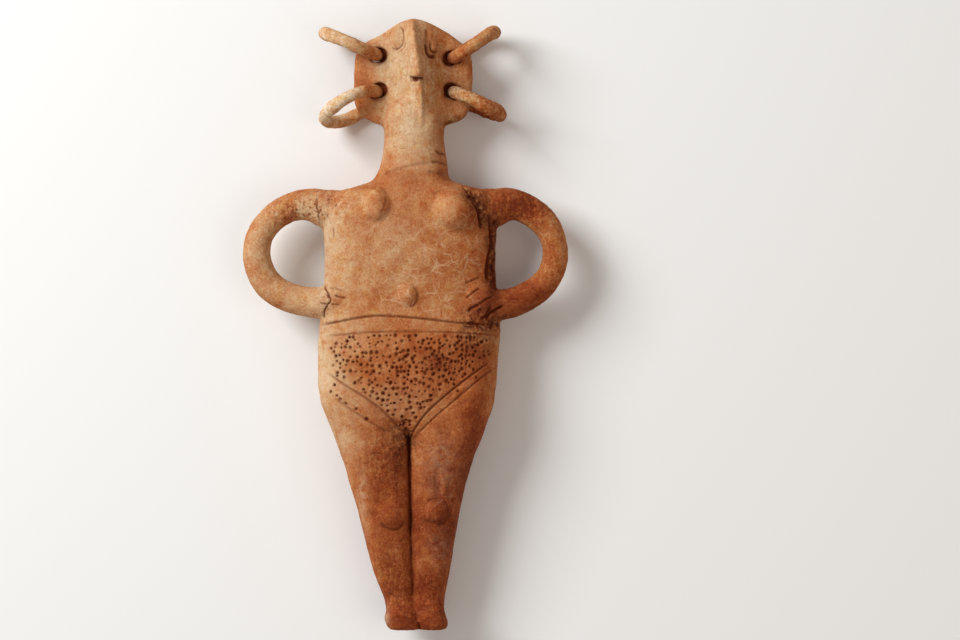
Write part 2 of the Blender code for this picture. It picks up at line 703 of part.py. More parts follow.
def centre_on_origin(objects):
    """Puts the middle of the whole outline over the origin, with the floor at Z 0."""
    points = [vert.co for obj in objects for vert in obj.data.vertices]
    middle = [(min(p[i] for p in points) + max(p[i] for p in points)) / 2 for i in (0, 1)]
    for obj in objects:
        for vert in obj.data.vertices:
            vert.co -= Vector((*middle, 0))


def main():
    clear_scene()
    body = modelled_body()
    cut(body, floor_cutter())
    cut(body, nose_cutter())
    for ring in EARRINGS.values():
        cut(body, hole_cutter(ring))
    incise(body)
    earrings = [make_earring(name, ring) for name, ring in EARRINGS.items()]
    centre_on_origin([body, *earrings])
    body.data.materials.clear()
    body.data.materials.append(clay("body_clay", BODY_CLAY))
    ring_clay = clay("earring_clay", EARRING_CLAY)
    for earring in earrings:
        earring.data.materials.append(ring_clay)
    for obj in (body, *earrings):
        obj.data.shade_smooth()
        obj.data.set_sharp_from_angle(angle=math.radians(35))


main()
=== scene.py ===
"""The looks of a bird-headed clay figurine that lies on its back, with four clay earrings.

Modelling is done in the figurine's own frame: X to the viewer's right from its axis, Y up from
the soles, Z out of the belly, written in millimetres here and turned into metres when a mesh
is made. Each finished piece is then laid over the CAD node that it stands for.
"""

import math
import random

import bmesh
import bpy
import numpy as np
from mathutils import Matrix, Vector, noise
from mathutils.bvhtree import BVHTree
from mathutils.kdtree import KDTree


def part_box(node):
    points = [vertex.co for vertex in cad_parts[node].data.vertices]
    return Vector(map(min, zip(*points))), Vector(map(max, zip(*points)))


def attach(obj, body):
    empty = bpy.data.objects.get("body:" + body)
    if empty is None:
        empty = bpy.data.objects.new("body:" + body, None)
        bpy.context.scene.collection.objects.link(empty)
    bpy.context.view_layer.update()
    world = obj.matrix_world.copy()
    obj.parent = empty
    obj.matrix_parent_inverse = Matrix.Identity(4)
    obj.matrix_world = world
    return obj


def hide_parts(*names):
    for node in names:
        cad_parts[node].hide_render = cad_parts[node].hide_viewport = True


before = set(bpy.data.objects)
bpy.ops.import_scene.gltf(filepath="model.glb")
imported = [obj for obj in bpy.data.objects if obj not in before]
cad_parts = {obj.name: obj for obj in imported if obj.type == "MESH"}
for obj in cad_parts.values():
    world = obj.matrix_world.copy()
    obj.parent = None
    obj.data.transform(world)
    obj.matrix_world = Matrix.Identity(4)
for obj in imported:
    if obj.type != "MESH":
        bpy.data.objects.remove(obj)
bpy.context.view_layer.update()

# Sizes of the object (mm)
MM = 0.001
BODY_DEPTH = 25.2
MID_PLANE = BODY_DEPTH / 2
ARM_THICKNESS = 8.8
EAR_THICKNESS = 5.4
COIL = 4.1
HOLE_CLEARANCE = 0.7
TOUCH_GAP = 0.2
FLOOR_GAP = 0.1
FIGURE_LENGTH = 197.8

# Fineness
SECTION_POINTS = 64
LEVEL_STEP = 0.8
ARM_STEPS = 8
PELLET_SEGMENTS = 48
PELLET_RINGS = 32
FORM_VOXEL = 0.55
FORM_SMOOTHING = 7
SKIN_VOXEL = 0.34
SKIN_SMOOTHING = 2
CALMING = 14  # rounds of averaging of the normals along which relief is laid in
BODY_TRIANGLES = 190000
POINTS_AT_ONCE = 2000  # so that the gaps between points and lines fit in memory
RING_STEPS = 96
RING_SIDES = 28

# The trunk from crotch to neck: height above the soles, left and right edges,
# then back and front as shares of BODY_DEPTH.
TRUNK = (
    (57.0, 2.5, 1.0, 0.40, 0.66),
    (61.0, 8.0, 6.0, 0.24, 0.82),
    (67.0, 18.0, 15.6, 0.08, 0.91),
    (74.0, 28.0, 25.0, 0.00, 0.97),
    (79.0, 30.6, 27.1, -0.04, 1.00),
    (90.0, 30.6, 27.9, -0.03, 1.00),
    (98.0, 30.1, 28.5, 0.05, 0.96),
    (106.0, 29.0, 27.2, 0.13, 0.93),
    (114.0, 28.6, 26.9, 0.10, 0.95),
    (122.0, 28.3, 26.8, 0.03, 0.98),
    (131.0, 28.8, 27.2, -0.03, 0.99),
    (137.0, 28.6, 27.0, -0.02, 0.97),
    (141.8, 25.4, 25.0, 0.04, 0.93),
    (144.0, 18.2, 18.2, 0.09, 0.89),
    (146.0, 12.7, 12.4, 0.13, 0.87),
    (150.0, 10.6, 11.0, 0.17, 0.86),
)
TRUNK_SQUARENESS = 2.6

# The neck, in the same columns as the trunk.
NECK = (
    (142.0, 12.0, 12.0, 0.17, 0.86),
    (149.0, 11.0, 11.5, 0.17, 0.86),
    (154.0, 9.8, 10.9, 0.18, 0.85),
    (160.0, 9.1, 10.2, 0.19, 0.85),
    (166.0, 9.2, 10.3, 0.20, 0.86),
    (172.0, 8.0, 8.6, 0.24, 0.80),
)
NECK_SQUARENESS = 2.1

# The line between the legs, as height and sideways place.
LEG_SPLIT = ((0.0, 2.2), (4.0, 1.9), (10.0, 0.4), (14.0, 0.0), (42.0, -0.6), (66.0, -1.4), (92.0, -1.6))
LEG_OVERLAP = 0.7
# Both legs, in the same columns as the trunk.
LEGS = (
    (6.0, 8.2, 10.2, 0.26, 0.69),
    (10.0, 9.1, 10.3, 0.25, 0.68),
    (14.0, 10.8, 11.0, 0.24, 0.70),
    (22.0, 13.5, 12.5, 0.21, 0.75),
    (38.0, 17.5, 15.3, 0.16, 0.82),
    (54.0, 22.3, 19.1, 0.08, 0.88),
    (66.0, 26.5, 23.6, 0.03, 0.93),
    (76.0, 30.0, 26.7, 0.00, 0.95),
    (84.0, 29.4, 26.0, 0.04, 0.94),
    (92.0, 24.0, 21.0, 0.14, 0.86),
)
LEG_SQUARENESS = 2.7
# Each foot: height and outer edge, then back and front as shares of BODY_DEPTH.
LEFT_FOOT = (
    (0.4, 7.2, 0.30, 0.80),
    (1.6, 8.3, 0.26, 0.86),
    (4.0, 9.0, 0.23, 0.85),
    (7.0, 8.4, 0.24, 0.77),
    (11.0, 9.2, 0.25, 0.68),
)
RIGHT_FOOT = (
    (0.4, 10.9, 0.27, 0.81),
    (1.6, 11.7, 0.25, 0.86),
    (4.0, 11.1, 0.22, 0.85),
    (7.0, 10.1, 0.24, 0.77),
    (11.0, 10.2, 0.25, 0.68),
)

# The head with its flat ears: height, left edge, right edge,
# then how far the face's ridge and the back of the skull stand out.
HEAD = (
    (163.7, 9.6, 10.2, 6.4, 4.6),
    (164.6, 12.6, 13.6, 6.6, 4.4),
    (166.4, 16.0, 17.0, 7.0, 4.1),
    (169.4, 18.2, 18.4, 7.4, 3.8),
    (174.0, 19.0, 19.2, 8.2, 3.4),
    (181.0, 18.9, 19.4, 8.8, 3.0),
    (186.4, 18.4, 19.2, 8.3, 2.4),
    (189.4, 16.7, 17.3, 7.6, 1.8),
    (191.6, 13.6, 14.5, 6.8, 1.4),
    (193.2, 10.4, 12.0, 5.9, 1.0),
    (195.6, 6.5, 8.1, 4.7, 0.5),
    (197.0, 3.8, 5.2, 3.9, 0.2),
    (198.2, 0.8, 2.2, 3.2, 0.0),
)
FACE_HALF_WIDTH = 10.5  # from the ridge to the flat of the ear
FACE_HOLLOWNESS = 1.3  # 1 is a plain roof from ridge to ear, more is a hollow cheek
SKULL_HALF_WIDTH = 11.0
SKULL_FALL = 1.5
EAR_SQUARENESS = 4.0
# The ridge of face and nose, as height and sideways place.
FACE_RIDGE = ((160.0, 3.0), (173.0, 3.0), (181.0, 2.0), (190.0, 0.7), (200.0, 0.0))
# The nose along that ridge: height, half width and how far it stands proud of the ridge.
NOSE = ((177.6, 2.7, 3.6), (181.0, 2.6, 3.4), (187.0, 2.3, 2.2), (193.0, 1.9, 1.1), (197.0, 1.4, 0.5))
# Its section from the side up to the ridge: run and fall as shares of the half width.
NOSE_SECTION = ((1.0, 1.1), (0.45, 0.15), (0.0, 0.0))
NOSE_END = 179.1
NOSE_UNDERCUT = (3.8, 3.0, 2.6)  # the cut below it: run down the face, half width and fall at the sides
NOSE_UNDERCUT_SINK = 1.4
NOSE_UNDERCUT_SLOPE = 1.2
NOSE_UNDERCUT_TOP = 8.0

# The arms' centre lines from the shoulder round the elbow to the hand: sideways place and
# height, lift above the mid plane as a share of BODY_DEPTH, thickness as a share of
# ARM_THICKNESS, and flatness (1 is round).
LEFT_ARM = (
    (-20.0, 136.0, 0.02, 1.50, 0.85),
    (-27.4, 136.6, 0.01, 1.46, 0.88),
    (-32.6, 137.8, 0.00, 1.22, 0.96),
    (-37.8, 137.5, 0.00, 1.10, 1.0),
    (-44.5, 134.2, 0.00, 1.04, 1.0),
    (-49.1, 128.5, 0.00, 1.01, 1.0),
    (-50.5, 121.8, 0.00, 1.02, 1.0),
    (-48.8, 115.4, 0.00, 1.06, 1.0),
    (-44.8, 110.4, 0.00, 1.09, 1.0),
    (-38.7, 107.5, 0.01, 1.11, 1.0),
    (-32.4, 106.3, 0.06, 1.15, 0.9),
    (-27.2, 106.5, 0.15, 1.14, 0.75),
    (-23.6, 107.4, 0.25, 0.92, 0.6),
    (-21.2, 108.0, 0.30, 0.50, 0.6),
)
RIGHT_ARM = (
    (19.0, 136.4, 0.02, 1.50, 0.85),
    (26.0, 137.0, 0.01, 1.46, 0.88),
    (30.4, 138.1, 0.00, 1.24, 0.96),
    (35.0, 137.5, 0.00, 1.13, 1.0),
    (40.6, 134.0, 0.00, 1.07, 1.0),
    (44.8, 128.9, 0.00, 0.98, 1.0),
    (46.3, 122.2, 0.00, 0.94, 1.0),
    (44.7, 115.7, 0.00, 0.97, 1.0),
    (40.9, 110.7, 0.00, 1.02, 1.0),
    (35.4, 107.4, 0.02, 1.08, 1.0),
    (30.0, 105.7, 0.08, 1.14, 0.9),
    (25.2, 105.6, 0.19, 1.16, 0.75),
    (21.2, 107.6, 0.28, 1.18, 0.6),
    (17.9, 109.3, 0.33, 0.78, 0.6),
)

# Clay pressed on to the front: sideways place, height, two half widths and how far proud.
PELLETS = (
    (-11.4, 137.9, 4.6, 5.2, 2.8),  # left breast
    (13.9, 136.2, 6.9, 6.7, 5.0),  # right breast
    (-1.5, 108.4, 3.2, 4.0, 2.0),  # navel
    (-6.3, 37.6, 4.4, 4.7, 1.4),  # left knee
    (7.8, 38.4, 3.9, 4.2, 1.4),  # right knee
    (-5.1, 192.1, 2.3, 3.8, 1.2),  # left eye
    (6.6, 188.6, 1.4, 1.8, 1.5),  # right eye
)
PELLET_SINK = 3.0

# Incised lines: name, width, depth, how dark the dirt and painted shade in them is, and their points.
# Some are mostly painted shadow: under the nose's end, down the right of the trunk, along the right eye,
# below the neck's crease, at the navel's edge, beside the left breast and under the right knee.
LINES = (
    ("girdle top", 0.9, 0.75, 0.65,
     ((-29.2, 98.9), (-22.7, 100.2), (-12.6, 101.8), (-1.0, 101.4), (12.6, 99.9), (19.0, 99.3),
      (28.0, 98.9))),
    ("girdle low", 0.8, 0.5, 0.42,
     ((-27.0, 95.4), (-18.3, 96.2), (-7.5, 96.7), (13.3, 96.5), (27.2, 95.4))),
    ("left V", 0.9, 0.7, 0.5,
     ((-27.0, 83.2), (-22.0, 79.8), (-16.2, 76.2), (-9.8, 71.6), (-5.2, 66.9), (-2.2, 63.4), (-1.2, 61.0))),
    ("left V outer", 0.8, 0.5, 0.4, ((-24.4, 74.9), (-18.4, 70.8), (-11.0, 66.2), (-8.2, 64.6))),
    ("right V", 0.85, 0.7, 0.55,
     ((24.3, 86.6), (17.0, 81.2), (10.2, 75.7), (4.4, 70.3), (0.4, 64.6), (-0.6, 61.5))),
    ("right V outer", 0.75, 0.5, 0.4, ((26.2, 85.0), (20.2, 80.2), (13.4, 74.4), (8.0, 69.8), (1.7, 63.8))),
    ("shoulder seam", 1.3, 1.1, 1.0,
     ((16.4, 143.5), (18.6, 140.2), (20.3, 136.9), (21.6, 133.3), (22.2, 130.0))),
    # painted shadow along the edge of the trunk's front, in this line and the next
    ("right side seam", 2.0, 0.9, 1.0,
     ((24.8, 134.4), (25.4, 129.4), (25.4, 124.6), (24.6, 120.6), (24.1, 116.4), (24.3, 113.2))),
    ("right side edge", 1.8, 0.6, 0.95,
     ((27.0, 131.4), (27.4, 124.6), (26.7, 120.6), (26.1, 116.4), (26.3, 112.4), (26.9, 110.6))),
    ("neck crease", 0.9, 0.5, 0.65, ((7.6, 155.2), (9.2, 154.4), (11.4, 154.2))),
    # painted soft shadow below the neck's crease
    ("neck crease low", 1.1, 0.5, 0.4, ((6.4, 151.5), (9.0, 151.5), (12.0, 150.4))),
    ("neck dots", 0.35, 0.2, 0.35, ((-4.4, 156.1), (-1.6, 155.7))),
    ("neck base", 1.6, 0.35, 0.25, ((5.4, 148.4), (8.4, 147.9), (11.6, 148.0))),
    ("neck base left", 1.5, 0.3, 0.16, ((-9.4, 147.0), (-4.0, 149.2), (2.0, 150.6), (6.4, 151.2))),
    # painted shadow under the end of the nose, in this line and the next
    ("nose shadow", 1.1, 0.6, 0.95, ((-0.9, 179.1), (0.8, 178.7), (3.5, 178.6))),
    ("nose shadow low", 1.5, 0.6, 0.95, ((0.0, 178.5), (0.9, 178.0), (2.0, 178.2))),
    ("left eye", 0.5, 0.45, 0.6,
     ((-3.9, 195.6), (-3.1, 194.7), (-2.8, 193.0), (-2.8, 191.0), (-3.3, 189.5), (-4.2, 188.4),
      (-5.4, 188.0), (-6.6, 188.8))),
    ("left eye side", 0.45, 0.25, 0.3, ((-7.0, 189.4), (-7.5, 191.4), (-7.2, 193.4), (-6.2, 195.2))),
    ("left eye rim", 0.4, 0.2, 0.3, ((-2.2, 190.6), (-2.5, 188.9), (-3.6, 187.6), (-4.8, 186.8))),
    # painted shadow down the right flank of the nose
    ("right eye side", 1.8, 0.4, 0.3, ((4.7, 194.6), (4.6, 191.6), (4.5, 188.9))),
    ("right eye", 1.6, 0.9, 0.85, ((4.4, 189.8), (4.4, 187.8), (5.0, 186.2), (6.2, 185.6), (7.4, 185.9))),
    ("right eye inner", 0.8, 0.5, 0.75,
     ((5.8, 190.2), (5.7, 188.8), (6.2, 187.5), (7.2, 187.1), (8.1, 187.6))),
    ("left knee", 1.1, 0.4, 0.55,
     ((-10.0, 35.1), (-9.0, 33.8), (-7.4, 32.9), (-5.5, 32.7), (-3.7, 33.6), (-2.5, 35.6))),
    ("leg line low", 1.0, 0.5, 0.5, ((-0.7, 34.0), (-0.5, 27.0), (-0.1, 21.0), (0.1, 16.0), (0.2, 11.0))),
    ("right knee top", 0.8, 0.3, 0.4, ((4.6, 41.2), (5.7, 42.4), (7.5, 42.9), (9.3, 42.6))),
    ("right knee side", 0.8, 0.3, 0.3, ((10.4, 42.0), (11.4, 40.4), (11.6, 38.2))),
    # painted shadow under the right knee, in this line and the next
    ("right knee low", 1.8, 0.3, 0.35, ((4.4, 35.7), (6.0, 35.0), (7.4, 35.2))),
    ("right knee end", 1.6, 0.3, 0.35, ((8.6, 35.0), (10.0, 34.6), (11.2, 36.2))),
    ("left foot rim", 1.6, 0.4, 0.35, ((-6.6, 4.0), (-5.1, 4.6), (-2.9, 4.3), (-0.6, 3.7), (1.0, 2.9))),
    ("left wrist crack", 0.6, 0.8, 0.85,
     ((-28.4, 112.3), (-28.0, 110.6), (-27.3, 109.5), (-26.5, 107.7), (-26.4, 106.6), (-27.1, 105.6),
      (-27.8, 104.4), (-28.3, 103.2), (-28.4, 101.2))),
    ("left wrist dot", 0.9, 0.7, 0.9, ((-27.3, 108.9), (-27.0, 107.9))),
    ("left finger 1", 0.8, 0.4, 0.4, ((-26.7, 111.0), (-24.2, 110.5), (-22.5, 109.9))),
    ("left finger 2", 0.8, 0.7, 0.75, ((-24.9, 108.6), (-23.9, 108.1), (-21.6, 107.6))),
    ("left finger 3", 0.7, 0.5, 0.7, ((-29.5, 106.0), (-27.3, 105.6))),
    ("left finger 4", 0.7, 0.4, 0.55, ((-26.0, 105.6), (-23.3, 105.4))),
    ("left finger 5", 0.5, 0.3, 0.35, ((-29.3, 108.0), (-28.1, 108.0))),
    ("right finger 1", 0.9, 0.65, 0.75, ((17.3, 107.6), (19.5, 109.4), (21.7, 111.0))),
    ("right finger 2", 1.0, 0.6, 0.7, ((21.4, 105.4), (22.6, 106.3), (24.3, 107.4), (25.9, 108.0))),
    ("right finger 3", 1.2, 0.8, 0.9, ((18.2, 103.2), (18.8, 104.2), (20.0, 104.7), (21.4, 105.4))),
    ("right finger 4", 1.2, 1.0, 1.0, ((23.8, 100.9), (25.0, 102.4), (26.8, 103.7), (29.2, 105.1))),
    ("right finger 5", 1.2, 0.7, 0.85, ((22.0, 100.7), (23.6, 101.9), (24.3, 103.2), (25.2, 104.9))),
    ("right finger 6", 0.9, 0.35, 0.4, ((17.2, 112.2), (19.4, 113.3), (21.8, 114.2))),
    ("right hand dot", 0.9, 0.7, 0.85, ((21.7, 103.7), (22.1, 104.1))),
    ("right hand nick", 0.5, 0.3, 0.5, ((18.8, 101.9), (19.6, 100.4))),
    ("right hand nick low", 0.5, 0.3, 0.5, ((20.0, 102.4), (20.8, 101.2))),
    ("left shoulder crack", 0.6, 0.5, 0.6,
     ((-30.7, 140.7), (-30.7, 136.8), (-30.1, 135.6), (-30.3, 134.1), (-29.7, 132.6))),
    ("left side crack", 0.5, 0.4, 0.5, ((-25.3, 129.9), (-25.3, 127.1))),
    ("left side dots", 0.6, 0.4, 0.4, ((-26.0, 125.6), (-25.8, 125.3))),
    # painted shade beside the left breast
    ("left breast fold", 1.2, 0.15, 0.2, ((-8.1, 139.1), (-8.9, 136.8), (-9.8, 135.2))),
    # painted shadow on the navel's right edge
    ("navel edge", 1.0, 0.3, 0.3, ((0.4, 111.4), (1.7, 109.6), (1.8, 107.6), (0.9, 105.6), (-0.8, 104.6))),
    ("right breast top", 0.6, 0.2, 0.25, ((6.8, 140.8), (8.7, 142.1), (12.6, 143.0), (15.9, 143.3))),
    ("foot notch", 1.0, 0.7, 0.6, ((2.0, 2.8), (2.3, 1.6), (2.2, 0.2))),
)
BACK_LINES = (
    ("girdle top", 0.9, 0.55, 0.5, ((-26.0, 98.6), (-10.0, 99.0), (8.0, 98.4), (24.0, 98.6))),
    ("girdle low", 0.8, 0.5, 0.5, ((-26.0, 95.4), (-10.0, 95.2), (8.0, 95.6), (24.0, 95.4))),
    ("spine", 1.6, 0.5, 0.3, ((-0.6, 136.0), (-1.0, 120.0), (-1.2, 104.0))),
    ("cleft", 1.6, 1.0, 0.6, ((-1.2, 90.0), (-1.3, 80.0), (-1.3, 68.0), (-1.1, 56.0))),
)
LIP = 0.14  # height of the clay pushed up beside a line, as a share of the line's depth
LINE_SAMPLE = 0.16  # between two points of an incised line
LINE_END = 0.25  # share of its depth that a line has at its very ends
LINE_REACH = 1.6  # widths of skin looked at on each side
LINE_FALL = 1.5  # power of a line's section: 1 is a sharp V
# Place and width of the lip, and where the dirt and painted shade end, in half widths of the line
LIP_SHAPE = (1.4, 0.4)
LINE_DARKENING = (1.15, 0.35)
CREST_STEPS = 40
CREST_REACH = 3  # skin looked at on each side
END_TAPER = 0.12  # share of a line's length over which it runs in and out

# The open cut between the legs: height and sideways place, half width at the top and depth.
LEG_CUT = (
    (65.5, -1.3, 0.7, 1.8),
    (62.5, -1.2, 1.5, 4.2),
    (56.0, -1.0, 1.1, 4.4),
    (46.0, -0.8, 0.85, 4.0),
    (34.0, -0.7, 0.78, 3.4),
    (24.0, -0.3, 0.5, 2.4),
    (14.0, 0.2, 0.3, 1.2),
)

# The pricked field
PRICK_COUNT = 290
PRICK_TRIES = 60000
PRICK_RADII = (0.34, 0.68)
PRICK_DEPTHS = (0.5, 1.0)
PRICK_DARKNESS = (0.6, 1.0)
PRICK_GAP = 0.2  # least clay between two pricks
PRICK_SPREAD = 1.3  # most that a prick keeps clear beyond that
PRICK_SEED = 11
PRICK_BAND = (58, 100)  # heights between which skin is looked at for pricks
PRICK_BAND_BACK = MID_PLANE * 0.8  # and how far back
PRICK_STRETCH = (1.0, 1.3)
PRICK_FALL = 0.8  # power of its section: less is blunter
# The lip round a prick, its place and width, and where its dirt ends, all but the first in radii
PRICK_LIP = 0.12
PRICK_LIP_SHAPE = (1.3, 0.28)
PRICK_DIRT = (1.25, 0.45)
PRICK_REACH = 1.8
PRICKED_SIDES = (-26.4, 24.6)
PRICKED_HEIGHTS = (62.5, 96.0)
GIRDLE_MARGIN = 0.9  # clear of the girdle's lower line
V_MARGIN = 1.3  # clear of the V
V_MIDDLE = -0.8  # sideways place where the two lines of the V meet
# Share of the tries that is kept, and crowds: place, height, two radii and how many more are kept.
PRICKS_KEPT = 0.45
PRICK_CROWDS = ((17, 91, 9, 8, 0.55), (4, 85, 7, 6, 0.30))
LONE_PRICKS = ((-26.2, 77.4), (-25.0, 79.6), (-24.2, 76.2), (-21.2, 73.6), (-17.8, 71.9), (-14.6, 68.6),
               (-23.0, 75.0), (20.6, 82.0), (14.8, 77.6))

# The earrings: where the hole goes through the ear, which way the ring points, its lean towards
# the crown, in degrees, and its span over the coil.
EARRINGS = {
    "earring_upper_left": {"hole": (-11.1, 186.3), "points": 157.0, "lean": -2.6, "span": 22.8},
    "earring_lower_left": {"hole": (-11.0, 174.6), "points": 206.0, "lean": 16.5, "span": 23.6},
    "earring_upper_right": {"hole": (12.7, 185.2), "points": 32.0, "lean": -3.0, "span": 20.6},
    "earring_lower_right": {"hole": (12.6, 174.6), "points": -25.5, "lean": 4.0, "span": 21.8},
}
LOOK_CLEARANCE = 0.15  # of a hole in the finished clay
HOLE_MOUTH = (2.0, 2.6, 1.6)  # the flare of a hole's mouth: radius within, radius at the ear's face, depth
MOUTH_SHIFT = 0.5  # towards the face
MOUTH_RISE = 0.35  # towards the crown
HOLE_DARK_REACH = 3.5  # radius that the dirt and painted shade of a hole reach
HOLE_DARK_EDGE = 0.6  # width of its soft edge
HOLE_DEPTHS = (-0.1, 0.7)  # below the ear's face, where the dirt and painted shade begin and are darkest
MOUTH_DARK_SHARE = 0.35  # share of it that lies at the mouth
COIL_UNEVENNESS = 0.06

# Sharp crests, and a worn ridge of less than no height: half width, how high, and their points.
CRESTS = (
    (1.3, 0.75, ((-0.2, 198.4), (0.4, 193.0), (1.3, 186.5), (2.0, 181.4), (2.3, 179.4))),
    (1.2, 0.4, ((3.0, 175.6), (3.2, 171.0), (3.2, 166.0), (3.0, 163.0))),
    (0.9, 0.4, ((9.4, 50.8), (10.3, 48.0), (10.4, 44.6))),  # over the right knee
    (0.9, 0.35, ((3.7, 33.9), (6.2, 31.4), (6.9, 27.4))),  # and below it
    (0.8, 0.35, ((8.6, 77.4), (12.6, 75.4), (17.2, 79.6))),  # clay pushed out beside the right V
    (2.2, -0.5, ((3.6, 176.6), (3.6, 172.0), (3.4, 167.0), (3.2, 163.0))),  # ridge of the chin, worn down
)
# Soft swellings and hollows of the front: sideways place, height, two radii, and how high.
SWELLS = (
    (-4.7, 3.2, 1.9, 1.2, -0.6),  # hollow on the left foot
    (7.5, 5.3, 1.3, 1.3, 0.25),
    (-13.6, 134.8, 2.6, 1.8, 0.3),
    (-11.0, 134.0, 1.5, 1.5, 0.5),  # point of the left breast
    (-4.0, 167.0, 5.0, 4.0, -0.35),  # under the chin
    (9.5, 148.0, 6.0, 5.0, -0.25),
    (-20.0, 141.0, 5.0, 3.0, -0.4),  # between neck and left shoulder
    (-1.0, 122.0, 14.0, 10.0, 0.35),
    (-13.0, 53.0, 6.0, 11.0, 0.35),
    (9.0, 58.0, 6.0, 11.0, 0.35),
    (10.6, 47.0, 1.2, 4.0, 0.45),  # ridge over the right knee
    (8.0, 47.0, 1.3, 4.2, -0.5),
    (22.6, 104.6, 2.0, 1.4, 0.4),  # knuckle of the right hand
    (-11.2, 139.6, 1.6, 0.8, 0.3),  # over the point of the left breast
)
# The hand's unevenness, broad to fine, and the grain of rough places: size and seed of each noise,
# and how high they stand. The strokes are drawn out upwards.
HAND_NOISES = ((8.5, 3.1), (3.1, 17.7), ((0.9, 5.5, 0.9), 5.3), (1.0, 41.3), (1.5, 61.9))
BROAD_HEIGHT = 0.26
HAND_HEIGHT = 0.12
STROKE_HEIGHT = 0.06
FINE_HEIGHT = 0.06
ROUGH_HEIGHT = 0.15
ROUGH_FINE_HEIGHT = 0.10
FACING_FRONT = (0.2, 0.6)  # Z of the normals between which relief of the front sets in
# Pits come in between these values of two of the noises.
PITS_IN_FINE = (0.38, 0.70)
PITS_IN_HAND = (-0.1, 0.5)
PIT_DEPTH = 0.25
ROUGH_PIT_DEPTH = 0.30
# Where clay has broken off the right shoulder: place, height and two radii, then how deep it is
# and how uneven, and the noise's size and seed.
CHIP = (18.6, 141.0, 2.2, 2.6)
CHIP_DEPTH = 0.35
CHIP_UNEVENNESS = 0.55
CHIP_NOISE = (0.9, 77.0)
# Dirt and painted shade between the legs, darker deeper in the cut: distance from the cut's line, heights
# at its top and its foot, and depth below its mouth, which falls away towards the feet.
CUT_TOP = 92
CUT_DARK_SIDES = (1.9, 0.5)
CUT_DARK_TOP = (68, 62)
CUT_DARK_FOOT = (8, 16)
CUT_DARK_DEPTH = (19.5, 16.5)
CUT_FALL = (0.06, 40)  # per mm of height, about this height

# Colour: tone 0 is the palest clay and 1 the reddest and darkest.
TONE_BASE = 0.46
# Its clouding: size, amount and seed of each noise, here and on the earrings.
BODY_CLOUDS = ((7.0, 0.10, 9.4), (2.4, 0.06, 19.4))
RING_CLOUDS = ((4.0, 0.16, 3), (1.2, 0.08, 5))
# Sideways place, height, two radii and amount, on front and back alike. Patches on right-facing flanks are
# darker partly as painted shade, and the left flank of the right breast is lighter as painted light.
TONES = (
    (-4.5, 184.0, 8.0, 15.0, -0.34),  # left of the face, pale
    (0.0, 160.0, 9.0, 10.0, -0.26),
    (-16.0, 178.0, 4.5, 9.0, 0.16),
    (-17.0, 190.0, 4.0, 4.0, 0.10),
    (11.5, 184.0, 8.0, 13.0, 0.06),  # right of the face, darker partly as painted shade
    (6.0, 168.0, 2.4, 8.0, 0.02),
    (0.5, 168.0, 4.0, 5.0, -0.12),
    (8.4, 177.0, 5.0, 12.0, -0.03),
    (9.0, 156.0, 3.0, 8.0, 0.18),
    (0.0, 146.6, 14.0, 4.0, 0.16),
    (-25.0, 124.0, 7.0, 18.0, -0.22),
    (-12.0, 116.0, 12.0, 10.0, -0.06),
    (0.0, 134.0, 7.0, 6.0, 0.06),
    (-1.0, 121.0, 8.0, 6.0, -0.08),
    (-20.0, 139.0, 6.0, 4.0, -0.10),
    (23.0, 104.5, 5.0, 5.0, 0.22),
    (14.0, 120.0, 10.0, 13.0, 0.06),
    # right edge of the trunk, darker as painted shade
    (26.0, 116.0, 4.0, 14.0, 0.20),
    (10.5, 137.0, 4.0, 6.0, -0.12),  # left flank of the right breast, lighter as painted light
    # right flank of the right breast, darker as painted shade
    (19.0, 134.0, 3.0, 5.0, 0.16),
    (-45.0, 123.0, 12.0, 16.0, -0.17),
    (-36.0, 107.0, 9.0, 5.0, -0.16),
    (-34.0, 137.0, 5.0, 4.0, -0.20),
    (-26.5, 139.5, 4.0, 2.6, 0.22),
    (-39.5, 134.5, 2.6, 3.6, 0.34),
    (34.0, 138.0, 12.0, 7.0, 0.46),  # right shoulder, darker partly as painted shade
    (46.0, 118.0, 9.0, 15.0, 0.14),
    (35.0, 107.0, 10.0, 6.0, 0.44),
    (-22.0, 99.0, 9.0, 5.0, -0.10),
    (-28.0, 84.0, 6.0, 13.0, -0.24),
    (2.0, 84.0, 20.0, 12.0, 0.14),  # the pricked field
    (18.0, 90.0, 9.0, 8.0, 0.12),
    (-9.0, 55.0, 7.0, 14.0, 0.24),
    (-22.0, 60.0, 5.0, 12.0, -0.06),
    (8.0, 56.0, 7.0, 14.0, 0.24),
    (20.0, 56.0, 6.0, 22.0, 0.36),
    (-4.0, 36.0, 9.0, 14.0, 0.20),
    (0.0, 26.0, 20.0, 20.0, 0.20),  # both shins
    (9.0, 32.0, 6.0, 20.0, 0.22),
    (1.0, 5.0, 14.0, 10.0, 0.34),  # both feet
    (-5.4, 39.0, 3.4, 5.0, -0.06),  # left knee
    (-13.0, 42.0, 4.0, 8.0, 0.14),
    (6.0, 90.0, 14.0, 6.0, 0.06),
    (20.0, 56.0, 6.0, 24.0, 0.12),
    (13.0, 36.0, 5.0, 14.0, 0.16),
    (2.0, 8.0, 14.0, 11.0, 0.10),
    # beside the left breast, darker as painted shade
    (-8.6, 138.2, 1.8, 3.0, 0.16),
    (-21.0, 140.0, 7.0, 4.0, 0.06),
    (-27.0, 97.0, 5.0, 4.0, 0.08),
    (26.5, 98.0, 4.0, 4.0, -0.10),
    (4.0, 155.0, 6.0, 5.0, -0.06),
)
